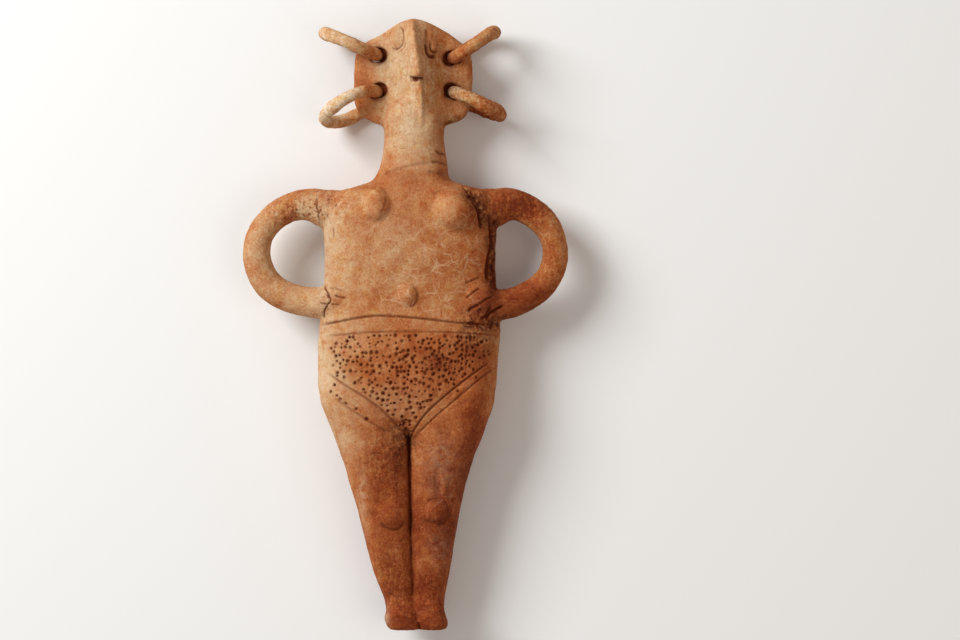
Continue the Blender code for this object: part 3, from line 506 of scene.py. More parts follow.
# Where the surface is weathered rough and blotched.
ROUGH = (
    (36.0, 137.0, 12.0, 7.0, 0.8),
    (21.5, 137.0, 4.0, 6.0, 1.0),
    (-36.0, 136.0, 10.0, 5.0, 1.0),
    (-27.0, 138.0, 5.0, 5.0, 0.7),
    (-9.0, 55.0, 8.0, 11.0, 0.7),
    (0.0, 10.0, 14.0, 13.0, 0.55),
    (-6.0, 24.0, 7.0, 8.0, 0.35),
    (8.5, 34.0, 5.0, 12.0, 0.4),
    (23.0, 100.0, 7.0, 5.0, 0.8),
    (44.0, 118.0, 8.0, 14.0, 0.4),
    (-26.0, 106.0, 6.0, 6.0, 0.4),
    (-4.0, 182.0, 13.0, 13.0, 0.3),
    (10.0, 182.0, 9.0, 12.0, 0.25),
    (0.0, 160.0, 10.0, 10.0, 0.25),
    (3.0, 82.0, 20.0, 12.0, 0.35),
    (-44.0, 120.0, 9.0, 16.0, 0.25),
    (9.0, 58.0, 9.0, 14.0, 0.25),
)
# Where the whitish root lines are.
CRAZES = (
    (4.0, 122.0, 13.0, 10.0, 0.9),
    (17.0, 123.0, 8.0, 9.0, 0.5),
    (-2.0, 108.0, 14.0, 6.0, 0.7),
    (12.0, 107.0, 10.0, 5.0, 0.5),
    (-15.0, 124.0, 9.0, 9.0, 0.5),
    (14.0, 134.0, 8.0, 5.0, 0.35),
    (6.0, 60.0, 7.0, 5.0, 0.35),
    (10.0, 44.0, 4.0, 6.0, 0.4),
)
# Where a greyish white film of dust lies.
FILMS = (
    (-28.6, 120.0, 2.6, 16.0, 1.0),
    (-26.0, 131.0, 3.0, 6.0, 0.5),
    (-31.0, 84.0, 4.0, 16.0, 1.0),
    (-23.0, 97.0, 8.0, 4.0, 0.45),
    (-24.0, 80.0, 4.0, 6.0, 0.35),
    (-23.0, 63.0, 5.0, 7.0, 0.5),
    (-6.0, 186.0, 8.0, 12.0, 0.42),
    (0.0, 156.0, 9.0, 9.0, 0.4),
    (-8.0, 128.0, 10.0, 8.0, 0.3),
    (-34.0, 136.0, 5.0, 3.0, 0.4),
    (-48.0, 122.0, 5.0, 12.0, 0.3),
    (9.0, 54.0, 6.0, 9.0, 0.2),
    (9.0, 26.0, 4.0, 6.0, 0.15),
    (-16.0, 42.0, 1.6, 12.0, 0.4),
    (-9.0, 3.0, 1.4, 4.0, 0.6),
    (-9.0, 74.0, 12.0, 5.0, 0.25),
)
DARKENED_DEPTH = (0.25, 0.75)  # share of BODY_DEPTH over which the stains and painted shadows set in
# Where soot or manganese darkens the front, and painted shadows under the right arm and ear, along the
# trunk's right edge, on the left thigh beside the cut and in hollows.
STAINS_AND_SHADOWS = (
    (19.4, 99.2, 2.2, 1.4, 0.9),
    (17.2, 98.6, 1.4, 1.8, 0.5),
    (25.0, 99.0, 4.0, 1.6, 1.0),
    (20.0, 95.5, 5.0, 3.0, 0.5),
    (17.5, 92.5, 5.0, 3.0, 0.45),
    (24.5, 93.0, 3.0, 4.0, 0.3),
    (25.0, 99.5, 4.2, 1.7, 0.5),
    # painted shadow along the right edge of the trunk's front
    (25.6, 121.0, 2.2, 13.0, 1.0),
    # painted shadow under the right arm, in this row and the next
    (32.0, 101.4, 5.0, 1.3, 0.9),
    (38.6, 104.0, 3.6, 1.6, 0.7),
    (8.5, 87.0, 4.5, 3.5, 0.7),
    (22.5, 102.6, 4.0, 2.6, 0.35),
    # painted shadow under the right ear, in this row and the next
    (16.4, 165.8, 4.4, 1.8, 1.0),
    (11.6, 164.4, 2.4, 1.2, 0.7),
    # soot and painted shade at the top of the cut between the legs, in these five rows
    (-4.5, 67.5, 3.5, 2.5, 0.6),
    (-8.2, 65.0, 2.0, 1.4, 0.5),
    (-1.2, 61.0, 2.6, 3.2, 0.8),
    (-4.6, 58.0, 2.2, 6.0, 0.7),
    (-3.0, 66.0, 2.0, 3.0, 0.5),
    (18.2, 141.2, 2.0, 2.4, 1.0),
    (20.8, 138.2, 2.2, 2.8, 1.0),
    (22.6, 134.0, 1.8, 3.6, 0.8),
    # painted shadow along the right edge of the trunk, in this row and the next
    (27.0, 131.0, 2.2, 3.6, 0.5),
    (26.6, 120.0, 1.4, 11.0, 0.7),
    (34.0, 139.0, 5.0, 3.5, 0.3),
    (21.0, 103.5, 4.0, 2.0, 0.25),
    # painted shade in the hollow of the left foot
    (-4.7, 3.2, 1.8, 1.3, 0.5),
    (-8.0, 22.0, 4.0, 6.0, 0.35),
    (-6.0, 12.0, 4.0, 4.0, 0.4),
    # painted shadow under the right knee
    (8.2, 35.8, 3.4, 1.6, 0.4),
    (8.4, 46.6, 1.2, 3.0, 0.5),
    (-9.0, 56.0, 6.0, 8.0, 0.3),
    (-8.8, 2.2, 1.0, 2.2, 0.5),
)

# The earrings' looks: tone in front, how much it changes near the hole, how much darker it is behind as
# painted shade, how much thicker the coil is at its fattest, the angle there, lumpiness, grime, film and
# seed.
RING_LOOKS = {
    "earring_upper_left": (0.22, 0.25, 0.2, 0.04, 0.0, 1.0, 0.5, 0.3, 4.2),
    "earring_lower_left": (0.05, 0.42, 0.26, 0.02, 0.5, 1.0, 0.3, 0.2, 8.8),
    "earring_upper_right": (0.42, 0.15, 0.2, 0.04, 0.2, 1.1, 0.7, 0.2, 15.1),
    "earring_lower_right": (0.59, -0.34, 0.25, 0.22, 0.7, 1.9, 1.0, 0.1, 23.6),
}
RING_LUMPS = ((3.4, 0.20, 0), (1.3, 0.10, 7))  # size, height and seed, like the clouds
RING_PIT_DEPTH = 0.16
# Spots: size and seed of a noise, and its values where they begin and are full
RING_PITS = (0.8, 13, 0.25, 0.6)
GRIME_SPOTS = (0.9, 23, 0.3, 0.7)
FILM_SPOTS = (5.0, 9, -0.2, 0.6)
FAT_PART = (1.9, 0.3)  # radians from the fattest place, where a coil begins to thicken and is thickest
RING_FRONT = (0.38, 0.62)  # share of BODY_DEPTH over which a ring's back turns into its front
RING_DRIFT = 0.25  # most that the fat part of a coil wanders sideways
RING_ROUGHNESS = 0.3
GRIME_SHARE = 0.5
FILM_BESIDE = 0.2  # share of the film that is left near the hole
STILL_SHARE = 0.25  # share of the lumps that is left where the coil goes through the hole
# Distances from the hole, in coils: where lumps begin, and where the tone beside the hole ends
LUMPS_BEGIN = (0.9, 1.6)
BESIDE_ENDS = (3.8, 1.8)

# Stage, in metres and watts
FLOOR_HALF = 2.0
CAMERA_DISTANCE = 1.4  # from the figurine's mid plane
VIEW_WIDTH = 0.3113  # seen at the mid plane
SENSOR_WIDTH = 36.0  # in millimetres
VIEW_CENTRE = (0.02415, 0.00133)
LIGHTS = (
    ("window", (-0.80, 0.52, 0.70), 0.6, 13.4, (1.0, 0.985, 0.96)),
    ("fill", (0.7, -0.3, 1.1), 0.9, 2.6, (1.0, 0.80, 0.64)),
)
SKY_STRENGTH = 0.33


def slopes_of(knots, values):
    """Slopes of a curve through the values that never overshoots them."""
    steps = [(values[i + 1] - values[i]) / (knots[i + 1] - knots[i]) for i in range(len(knots) - 1)]
    slopes = [steps[0]]
    for before, after in zip(steps, steps[1:]):
        slopes.append(0.0 if before * after <= 0 else 2 * before * after / (before + after))
    slopes.append(steps[-1])
    return slopes


def read_curve(table, column, at):
    """The value in this column at a height, on a smooth curve through the table's rows."""
    knots = [row[0] for row in table]
    values = [row[column] for row in table]
    at = min(max(at, knots[0]), knots[-1])
    slopes = slopes_of(knots, values)
    i = max(k for k in range(len(knots) - 1) if knots[k] <= at)
    width = knots[i + 1] - knots[i]
    t = (at - knots[i]) / width
    return (
        values[i] * (1 + 2 * t) * (1 - t) ** 2
        + slopes[i] * width * t * (1 - t) ** 2
        + values[i + 1] * t * t * (3 - 2 * t)
        - slopes[i + 1] * width * t * t * (1 - t)
    )


def read_row(table, at):
    """The values of all columns at a height."""
    return [read_curve(table, column, at) for column in range(1, len(table[0]))]


def smooth_line(points, steps):
    """A smooth line through points of any size, with this many steps between two of them."""
    line = []
    last = len(points) - 1
    for i in range(last):
        a, b, c, d = (Vector(points[max(0, min(last, i + k))]) for k in (-1, 0, 1, 2))
        for step in range(steps):
            t = step / steps
            line.append(
                b
                + (c - a) * t / 2
                + (a - b * 2.5 + c * 2 - d / 2) * t * t
                + ((b - c) * 1.5 + (d - a) / 2) * t ** 3
            )
    line.append(Vector(points[-1]))
    return line


def mesh_object(name, build):
    """A new object from a bmesh, with its faces turned outwards."""
    bmesh.ops.recalc_face_normals(build, faces=build.faces)
    mesh = bpy.data.meshes.new(name)
    build.to_mesh(mesh)
    build.free()
    obj = bpy.data.objects.new(name, mesh)
    bpy.context.scene.collection.objects.link(obj)
    return obj


def loft(name, rings, closed=False):
    """Faces between rings of equally many points, with both ends capped unless it is closed."""
    build = bmesh.new()
    made = [[build.verts.new(point) for point in ring] for ring in rings]
    pairs = list(zip(made, made[1:] + made[:1])) if closed else list(zip(made, made[1:]))
    for one, other in pairs:
        for i in range(len(one)):
            j = (i + 1) % len(one)
            build.faces.new((one[i], one[j], other[j], other[i]))
    if not closed:
        build.faces.new(made[0])
        build.faces.new(made[-1])
    return mesh_object(name, build)


def rounded_section(left, right, back, front, height, squareness):
    """One level section of a limb or the trunk: an oval that is squarer the higher its power.

    Its back and front are shares of BODY_DEPTH.
    """
    back, front = back * BODY_DEPTH, front * BODY_DEPTH
    middle = Vector(((left + right) / 2, height, (back + front) / 2))
    ring = []
    for i in range(SECTION_POINTS):
        angle = 2 * math.pi * i / SECTION_POINTS
        c, s = math.cos(angle), math.sin(angle)
        x = math.copysign(abs(c) ** (2 / squareness), c) * (right - left) / 2
        z = math.copysign(abs(s) ** (2 / squareness), s) * (front - back) / 2
        ring.append(middle + Vector((x, 0, z)))
    return ring


def heights_of(table):
    low, high = table[0][0], table[-1][0]
    count = max(2, round((high - low) / LEVEL_STEP))
    return [low + (high - low) * i / count for i in range(count + 1)]


def make_trunk(name, table, squareness):
    rings = []
    for h in heights_of(table):
        left, right, back, front = read_row(table, h)
        rings.append(rounded_section(-left, right, back, front, h, squareness))
    return loft(name, rings)


def make_leg(name, table, side, column):
    """A leg or foot left (-1) or right (1) of the line between them, with its edge in this column."""
    rings = []
    for h in heights_of(table):
        inner = read_curve(LEG_SPLIT, 1, h) - side * LEG_OVERLAP
        outer = side * read_curve(table, column, h)
        back, front = read_row(table, h)[-2:]
        left, right = sorted((inner, outer))
        rings.append(rounded_section(left, right, back, front, h, LEG_SQUARENESS))
    return loft(name, rings)


def head_section(h):
    """A level section of the head: a flat ear each side, the pinched face in front, the skull behind."""
    left, right, ridge, skull = read_row(HEAD, h)
    left = -left
    ridge_x = read_curve(FACE_RIDGE, 1, h)
    front, back = [], []
    for i in range(SECTION_POINTS + 1):
        s = -math.cos(math.pi * i / SECTION_POINTS)
        x = (left + right) / 2 + (right - left) / 2 * s
        rim = (1 - abs(s) ** EAR_SQUARENESS) ** (1 / EAR_SQUARENESS)
        face = max(0.0, 1 - abs(x - ridge_x) / FACE_HALF_WIDTH) ** FACE_HOLLOWNESS
        dome = max(0.0, 1 - (x / SKULL_HALF_WIDTH) ** 2) ** SKULL_FALL
        front.append(Vector((x, h, MID_PLANE + rim * (EAR_THICKNESS / 2 + ridge * face))))
        back.append(Vector((x, h, MID_PLANE - rim * (EAR_THICKNESS / 2 + skull * dome))))
    return front + back[-2:0:-1]


def make_head():
    return loft("head", [head_section(h) for h in heights_of(HEAD)])


def make_nose():
    """A wedge along the face's ridge that ends square over the chin."""
    rings = []
    for h in heights_of(NOSE):
        x = read_curve(FACE_RIDGE, 1, h)
        half, proud = read_row(NOSE, h)
        top = MID_PLANE + EAR_THICKNESS / 2 + read_curve(HEAD, 3, h) + proud
        right = [(run * half, top - fall * half) for run, fall in NOSE_SECTION]
        left = [(-run, z) for run, z in reversed(right[:-1])]
        profile = [(-half, MID_PLANE), (half, MID_PLANE), *right, *left]
        rings.append([Vector((x + run, h, z)) for run, z in profile])
    return loft("nose", rings)


def make_arm(name, table):
    """A coil of clay bent round from the shoulder to the hand on the hip."""
    line = smooth_line(table, ARM_STEPS)
    centres = [Vector((p[0], p[1], MID_PLANE + p[2] * BODY_DEPTH)) for p in line]
    rings = []
    for i, point in enumerate(line):
        along = (centres[min(i + 1, len(centres) - 1)] - centres[max(i - 1, 0)]).normalized()
        side = along.cross(Vector((0, 0, 1))).normalized()
        up = side.cross(along)
        half = point[3] * ARM_THICKNESS / 2
        ring = []
        for k in range(SECTION_POINTS // 2):
            angle = 4 * math.pi * k / SECTION_POINTS
            ring.append(centres[i] + side * half * math.cos(angle) + up * half * point[4] * math.sin(angle))
        rings.append(ring)
    return loft(name, rings)


def tree_of(obj):
    """The object's evaluated surface, for finding places on it."""
    return BVHTree.FromObject(obj, bpy.context.evaluated_depsgraph_get())


def surface_at(tree, x, y, side=1):
    """Where a line along Z meets the front (1) or the back (-1), and the surface's normal there."""
    point, normal, _, _ = tree.ray_cast(Vector((x, y, side * FIGURE_LENGTH)), Vector((0, 0, -side)))
    if point is None:
        return None, None
    return point, normal if normal.z * side > 0 else -normal


def join(name, objects):
    """One object that holds the meshes of all of them, still as overlapping shells."""
    build = bmesh.new()
    for obj in objects:
        build.from_mesh(obj.data)
        bpy.data.objects.remove(obj)
    return mesh_object(name, build)


def settle(obj):
    """Turns the object's modifiers into its mesh."""
    graph = bpy.context.evaluated_depsgraph_get()
    mesh = bpy.data.meshes.new_from_object(obj.evaluated_get(graph))
    obj.modifiers.clear()
    obj.data = mesh


def remesh(obj, voxel, passes):
    """One even skin over all the shells, then smoothed."""
    modifier = obj.modifiers.new("skin", "REMESH")
    modifier.mode = "VOXEL"
    modifier.voxel_size = voxel
    smooth = obj.modifiers.new("smooth", "SMOOTH")
    smooth.factor = 0.5
    smooth.iterations = passes
    settle(obj)


def make_pellet(tree, x, y, half_x, half_y, proud):
    """A flattened ball of clay pressed on to the front."""
    point, normal = surface_at(tree, x, y)
    build = bmesh.new()
    bmesh.ops.create_uvsphere(build, u_segments=PELLET_SEGMENTS, v_segments=PELLET_RINGS, radius=1)
    reach = PELLET_SINK + proud
    spread = 1 / math.sqrt(1 - (PELLET_SINK / reach) ** 2)
    size = Vector((half_x * spread, half_y * spread, reach))
    turn = Vector((0, 0, 1)).rotation_difference(normal)
    for vert in build.verts:
        vert.co = point - normal * PELLET_SINK + turn @ (vert.co * size)
    return mesh_object("pellet", build)


def cut(body, cutter):
    """Takes the cutter's shape out of the body."""
    modifier = body.modifiers.new("cut", "BOOLEAN")
    modifier.operation = "DIFFERENCE"
    modifier.solver = "MANIFOLD"
    modifier.object = cutter
    settle(body)
    bpy.data.objects.remove(cutter)


def earring_frame(ring):
    """The ring's centre, its way out from the hole, its way up, and its coil's radius line."""
    angle, lean = math.radians(ring["points"]), math.radians(ring["lean"])
    out = Vector((math.cos(angle), math.sin(angle), 0))
    towards_crown = Vector((-out.y, out.x, 0)) if out.x > 0 else Vector((out.y, -out.x, 0))
    up = Vector((0, 0, 1)) * math.cos(lean) + towards_crown * math.sin(lean)
    radius = (ring["span"] - COIL) / 2
    height = radius * math.cos(lean) + COIL * (1 + COIL_UNEVENNESS) / 2 + FLOOR_GAP
    rise = (MID_PLANE - height) / up.z
    hole = Vector((*ring["hole"], MID_PLANE))
    centre = hole + out * math.sqrt(radius ** 2 - rise ** 2) - up * rise
    return centre, out, up, radius


def torus(name, ring, thickness, steps, sides, shape):
    """The ring's coil. The shape gives, at an angle, the share of the thickness and a sideways drift."""
    centre, out, up, radius = earring_frame(ring)
    across = out.cross(up)
    rings = []
    for i in range(steps):
        angle = 2 * math.pi * i / steps
        spoke = out * math.cos(angle) + up * math.sin(angle)
        share, drift = shape(angle)
        half = thickness / 2 * share
        section = []
        for k in range(sides):
            turn = 2 * math.pi * k / sides
            away = spoke * (radius + half * math.cos(turn))
            section.append(centre + away + across * (drift + half * math.sin(turn)))
        rings.append(section)
    return loft(name, rings, closed=True)


def round_coil(_):
    return 1.0, 0.0


def hole_cutter(ring):
    """The earring's way through the ear, tight round the coil and as far out as the CAD's hole."""
    cutter = torus("hole", ring, COIL + 2 * LOOK_CLEARANCE, RING_STEPS, RING_SIDES, round_coil)
    _, out, _, _ = earring_frame(ring)
    place(cutter, coordinates(cutter) + np.array(out) * (HOLE_CLEARANCE - LOOK_CLEARANCE))
    return cutter


def mouth_cutter(ring, side):
    """A blunt cone that widens a hole at the ear's front (1) or back (-1)."""
    inner, outer, depth = HOLE_MOUTH
    _, out, _, _ = earring_frame(ring)
    face = MID_PLANE + side * EAR_THICKNESS / 2
    build = bmesh.new()
    bmesh.ops.create_cone(
        build, cap_ends=True, segments=RING_SIDES, radius1=inner, radius2=2 * outer - inner, depth=2 * depth
    )
    shift = Vector((*ring["hole"], face)) - out * MOUTH_SHIFT + Vector((0, MOUTH_RISE, 0))
    for vert in build.verts:
        vert.co = Vector((vert.co.x, vert.co.y, vert.co.z * side)) + shift
    return mesh_object("mouth", build)


def floor_cutter():
    """A slab under the plane that the figurine lies on."""
    build = bmesh.new()
    bmesh.ops.create_cube(build, size=2)
    for vert in build.verts:
        x, y, z = vert.co
        vert.co = Vector((x * FIGURE_LENGTH, y * FIGURE_LENGTH * 2, (z - 1) * BODY_DEPTH))
    return mesh_object("floor_cut", build)


def nose_cutter():
    """A wedge that squares off the nose and runs out down the face below it."""
    x = read_curve(FACE_RIDGE, 1, NOSE_END)
    face = MID_PLANE + EAR_THICKNESS / 2 + read_curve(HEAD, 3, NOSE_END)
    run, half, fall = NOSE_UNDERCUT
    top = face + NOSE_UNDERCUT_TOP
    rings = []
    for side in (-1, 0, 1):
        floor = face - (fall * abs(side) + NOSE_UNDERCUT_SINK)
        section = ((0, floor), (0, top), (-run, top), (-run, floor + NOSE_UNDERCUT_SLOPE))
        rings.append([Vector((x + side * half, NOSE_END + y, z)) for y, z in section])
    return loft("nose_end", rings)


def leg_cutter(tree):
    """A tapering wedge driven down between the legs."""
    rings = []
    for h, x, half, depth in LEG_CUT:
        surface = max(surface_at(tree, x + side * (half + 1.0), h)[0].z for side in (-1, 0, 1))
        rings.append([
            Vector((x - half * 2, h, surface + depth)),
            Vector((x + half * 2, h, surface + depth)),
            Vector((x, h, surface - depth)),
        ])
    return loft("leg_cut", rings)


def modelled_body():
    """The figurine's form: every limb and pellet, smoothed into one skin, with its holes."""
    limbs = [
        make_trunk("trunk", TRUNK, TRUNK_SQUARENESS),
        make_trunk("neck", NECK, NECK_SQUARENESS),
        make_leg("left_leg", LEGS, -1, 1),
        make_leg("right_leg", LEGS, 1, 2),
        make_leg("left_foot", LEFT_FOOT, -1, 1),
        make_leg("right_foot", RIGHT_FOOT, 1, 1),
        make_head(),
        make_nose(),
        make_arm("left_arm", LEFT_ARM),
        make_arm("right_arm", RIGHT_ARM),
    ]
    body = join("clay_figurine", limbs)
    tree = tree_of(body)
    pellets = [make_pellet(tree, *pellet) for pellet in PELLETS]
    body = join("clay_figurine", [body, *pellets])
    remesh(body, FORM_VOXEL, FORM_SMOOTHING)
    cutters = [floor_cutter(), nose_cutter(), leg_cutter(tree_of(body))]
    for ring in EARRINGS.values():
        cutters += [hole_cutter(ring), mouth_cutter(ring, 1), mouth_cutter(ring, -1)]
    for cutter in cutters:
        cut(body, cutter)
    remesh(body, SKIN_VOXEL, SKIN_SMOOTHING)
    return body


def coordinates(obj):
    flat = np.empty(len(obj.data.vertices) * 3, np.float32)
    obj.data.vertices.foreach_get("co", flat)
    return flat.reshape(-1, 3).astype(float)


def place(obj, points):
    obj.data.vertices.foreach_set("co", points.astype(np.float32).ravel())
    obj.data.update()


def calm_normals(obj, rounds):
    """The points' normals, averaged again and again with their neighbours'."""
    count = len(obj.data.vertices)
    flat = np.empty(count * 3, np.float32)
    obj.data.vertex_normals.foreach_get("vector", flat)
    normals = flat.reshape(-1, 3).astype(float)
    pairs = np.empty(len(obj.data.edges) * 2, np.int32)
    obj.data.edges.foreach_get("vertices", pairs)
    a, b = pairs.reshape(-1, 2).T
    for _ in range(rounds):
        columns = normals.T
        sums = [np.bincount(a, column[b], count) + np.bincount(b, column[a], count) for column in columns]
        normals = np.stack(sums, 1)
        normals /= np.linalg.norm(normals, axis=1, keepdims=True)
    return normals


def noise_at(points, size, seed):
    """Smooth noise between about -1 and 1 at each of the points, with features of this size."""
    shifted = points / np.asarray(size) + seed
    return np.array([noise.noise(p) for p in shifted.tolist()])


def clouding(points, waves, seed=0.0):
    """The sum of noises, each given as size, height and its own seed."""
    return sum(height * noise_at(points, size, seed + shift) for size, height, shift in waves)


def spots(points, look, seed):
    """Spots where a noise is high, from 0 to 1."""
    size, shift, begins, full = look
    return smoothstep(begins, full, noise_at(points, size, seed + shift))


def smoothstep(low, high, values):
    t = np.clip((values - low) / (high - low), 0, 1)
    return t * t * (3 - 2 * t)


def patches(points, table):
    """The sum at each point of soft patches: sideways place, height, two radii and amount."""
    return sum(amount * bump_at(points, *where) for *where, amount in table)


def bump_at(points, x, h, radius_x, radius_h):
    """1 at a place of the front or back, falling softly to 0 with the distance over the two radii."""
    return np.exp(-((points[:, 0] - x) / radius_x) ** 2 - ((points[:, 1] - h) / radius_h) ** 2)


class Relief:
    """How far each point of the skin is to be moved out, and how much dirt and painted shade darken it."""

    def __init__(self, points):
        self.points = points
        self.carve, self.lip, self.dirt, self.swell = np.zeros((4, len(points)))
        low, high = PRICK_BAND
        in_band = (points[:, 1] > low) & (points[:, 1] < high) & (points[:, 2] > PRICK_BAND_BACK)
        self.front_index = np.nonzero(in_band)[0]
        self.front = points[self.front_index]

    def near_line(self, tree, corners, steps, side, reach):
        """Blocks of the points near a line, each point's gap to it and how far the line has run in."""
        found = [surface_at(tree, p[0], p[1], side)[0] for p in smooth_line(corners, steps)]
        samples = np.array([point for point in found if point is not None])
        low, high = samples.min(0) - reach, samples.max(0) + reach
        near = np.nonzero(((self.points > low) & (self.points < high)).all(1))[0]
        for block in np.array_split(near, max(1, len(near) // POINTS_AT_ONCE)):
            gaps = np.linalg.norm(self.points[block, None, :] - samples[None, :, :], axis=2)
            run = gaps.argmin(1) / (len(samples) - 1)
            yield block, gaps.min(1), np.minimum(run, 1 - run) / END_TAPER

    def add_line(self, tree, line, side):
        """An incised line on the front (1) or the back (-1): a worn V between low lips of pushed clay."""
        _, width, depth, darkness, corners = line
        longest = max(math.dist(a, b) for a, b in zip(corners, corners[1:]))
        steps = math.ceil(longest / LINE_SAMPLE)
        at, breadth = LIP_SHAPE
        for block, gaps, run_in in self.near_line(tree, corners, steps, side, width * LINE_REACH):
            strength = np.clip(run_in + LINE_END, 0, 1)
            u = gaps / (width / 2)
            self.deepen(block, strength * depth * np.clip(1 - u ** LINE_FALL, 0, 1))
            self.raise_lip(block, strength * depth * LIP * np.exp(-((u - at) / breadth) ** 2))
            # dirt, and painted shadow in the lines that stand for shade
            self.darken(block, darkness * strength * smoothstep(*LINE_DARKENING, u))

    def add_crest(self, tree, half_width, height, corners):
        """A pinched ridge with straight flanks."""
        for block, gaps, run_in in self.near_line(tree, corners, CREST_STEPS, 1, CREST_REACH):
            strength = np.clip(run_in, 0, 1)
            self.swell[block] += strength * height * np.clip(1 - gaps / half_width, 0, 1)

    def deepen(self, index, depth):
        self.carve[index] = np.maximum(self.carve[index], depth)

    def raise_lip(self, index, height):
        self.lip[index] = np.maximum(self.lip[index], height)

    def darken(self, index, darkness):
        self.dirt[index] = np.maximum(self.dirt[index], darkness)

    def add_prick(self, tree, scatter, x, h):
        """A small pit pressed with a pointed stick."""
        radius = scatter.uniform(*PRICK_RADII)
        depth = scatter.uniform(*PRICK_DEPTHS)
        angle = scatter.uniform(0, math.pi)
        stretch = scatter.uniform(*PRICK_STRETCH)
        point, _ = surface_at(tree, x, h)
        gap = self.front - np.array(point)
        along = gap[:, 0] * math.cos(angle) + gap[:, 1] * math.sin(angle)
        across = gap[:, 1] * math.cos(angle) - gap[:, 0] * math.sin(angle)
        u = np.sqrt((along / stretch) ** 2 + across ** 2 + gap[:, 2] ** 2) / radius
        near = np.nonzero(u < PRICK_REACH)[0]
        u = u[near]
        index = self.front_index[near]
        self.deepen(index, depth * np.clip(1 - u ** 2, 0, 1) ** PRICK_FALL)
        at, breadth = PRICK_LIP_SHAPE
        self.raise_lip(index, PRICK_LIP * np.exp(-((u - at) / breadth) ** 2))
        self.darken(index, scatter.uniform(*PRICK_DARKNESS) * smoothstep(*PRICK_DIRT, u))

    def amount(self):
        return self.swell + self.lip * (self.carve < 0.02) - self.carve


def line_height(line, x):
    """Height of an incised line at this sideways place, straight between its points."""
    ordered = sorted(line)
    x = min(max(x, ordered[0][0]), ordered[-1][0])
    for (x0, y0), (x1, y1) in zip(ordered, ordered[1:]):
        if x <= x1:
            return y0 + (y1 - y0) * (x - x0) / (x1 - x0)
    return ordered[-1][1]


def corners_of(name):
    return next(line[4] for line in LINES if line[0] == name)


def prick_places(scatter):
    """Places between the girdle and the V, denser near the top right, with close pairs and threes."""
    top, left_v, right_v = corners_of("girdle low"), corners_of("left V"), corners_of("right V")
    places = []
    tries = 0
    while len(places) < PRICK_COUNT and tries < PRICK_TRIES:
        tries += 1
        x = scatter.uniform(*PRICKED_SIDES)
        h = scatter.uniform(*PRICKED_HEIGHTS)
        v_line = left_v if x < V_MIDDLE else right_v
        keep = PRICKS_KEPT
        for crowd_x, crowd_h, radius_x, radius_h, more in PRICK_CROWDS:
            keep += more * math.exp(-((x - crowd_x) / radius_x) ** 2 - ((h - crowd_h) / radius_h) ** 2)
        if scatter.random() > keep:
            continue
        if not line_height(v_line, x) + V_MARGIN < h < line_height(top, x) - GIRDLE_MARGIN:
            continue
        apart = 2 * PRICK_RADII[0] + PRICK_GAP + PRICK_SPREAD * scatter.random() ** 2
        if all(math.hypot(x - a, h - b) > apart for a, b in places):
            places.append((x, h))
    return places + list(LONE_PRICKS)


def dirt_between_legs(points):
    """Dirt and painted shade deep in the cut between the legs: 1 where it is full and 0 outside the cut."""
    x, h, z = points.T
    split = np.array([read_curve(LEG_SPLIT, 1, level) for level in range(CUT_TOP)])
    aside = abs(x - split[np.clip(h, 0, CUT_TOP - 1).astype(int)])
    fall, about = CUT_FALL
    within = smoothstep(*CUT_DARK_SIDES, aside) * smoothstep(*CUT_DARK_TOP, h)
    return within * smoothstep(*CUT_DARK_FOOT, h) * smoothstep(*CUT_DARK_DEPTH, z + fall * (about - h))


def dirt_in_hole(points, ring):
    """Dirt and painted shade in the hole that an earring goes through, darkest inside the ear."""
    x, h = ring["hole"]
    gap = np.hypot(points[:, 0] - x, points[:, 1] - h)
    begins, full = HOLE_DEPTHS
    face = EAR_THICKNESS / 2
    deep = smoothstep(face - begins, face - full, abs(points[:, 2] - MID_PLANE))
    return (MOUTH_DARK_SHARE + (1 - MOUTH_DARK_SHARE) * deep) * smoothstep(HOLE_DARK_REACH, HOLE_DARK_REACH - HOLE_DARK_EDGE, gap)


def carve_figurine(body):
    """Lays the hand's unevenness, the incised lines and the pricks into the skin."""
    points = coordinates(body)
    normals = calm_normals(body, CALMING)
    tree = tree_of(body)
    relief = Relief(points)
    for line in LINES:
        relief.add_line(tree, line, 1)
    for line in BACK_LINES:
        relief.add_line(tree, line, -1)
    for crest in CRESTS:
        relief.add_crest(tree, *crest)
    scatter = random.Random(PRICK_SEED)
    for x, h in prick_places(scatter):
        relief.add_prick(tree, scatter, x, h)

    front = smoothstep(*FACING_FRONT, normals[:, 2])
    broad, hand, strokes, fine, coarse = (noise_at(points, *wave) for wave in HAND_NOISES)
    rough = patches(points, ROUGH)
    relief.swell += (
        BROAD_HEIGHT * broad + HAND_HEIGHT * hand + STROKE_HEIGHT * strokes + FINE_HEIGHT * fine
        + rough * (ROUGH_HEIGHT * coarse + ROUGH_FINE_HEIGHT * fine)
    )
    pits = smoothstep(*PITS_IN_FINE, fine) * smoothstep(*PITS_IN_HAND, hand)
    relief.swell -= (PIT_DEPTH + ROUGH_PIT_DEPTH * rough) * pits
    for *where, height in SWELLS:
        relief.swell += height * front * bump_at(points, *where)
    broken = smoothstep(0.0, 1.0, bump_at(points, *CHIP) * 2)
    relief.swell -= front * broken * (CHIP_DEPTH + CHIP_UNEVENNESS * noise_at(points, *CHIP_NOISE))
    # dirt and painted shade in the earrings' holes
    for ring in EARRINGS.values():
        relief.darken(slice(None), dirt_in_hole(points, ring))
    # dirt and painted shade deep in the cut between the legs
    relief.darken(slice(None), front * dirt_between_legs(points))

    moved = points + normals * relief.amount()[:, None]
    moved[:, 2] = np.maximum(moved[:, 2], 0)
    place(body, moved)
    return moved, relief.dirt


def thin_out(body, triangles):
    thin = body.modifiers.new("thin", "DECIMATE")
    thin.ratio = min(1.0, triangles / (2 * len(body.data.polygons)))
    settle(body)


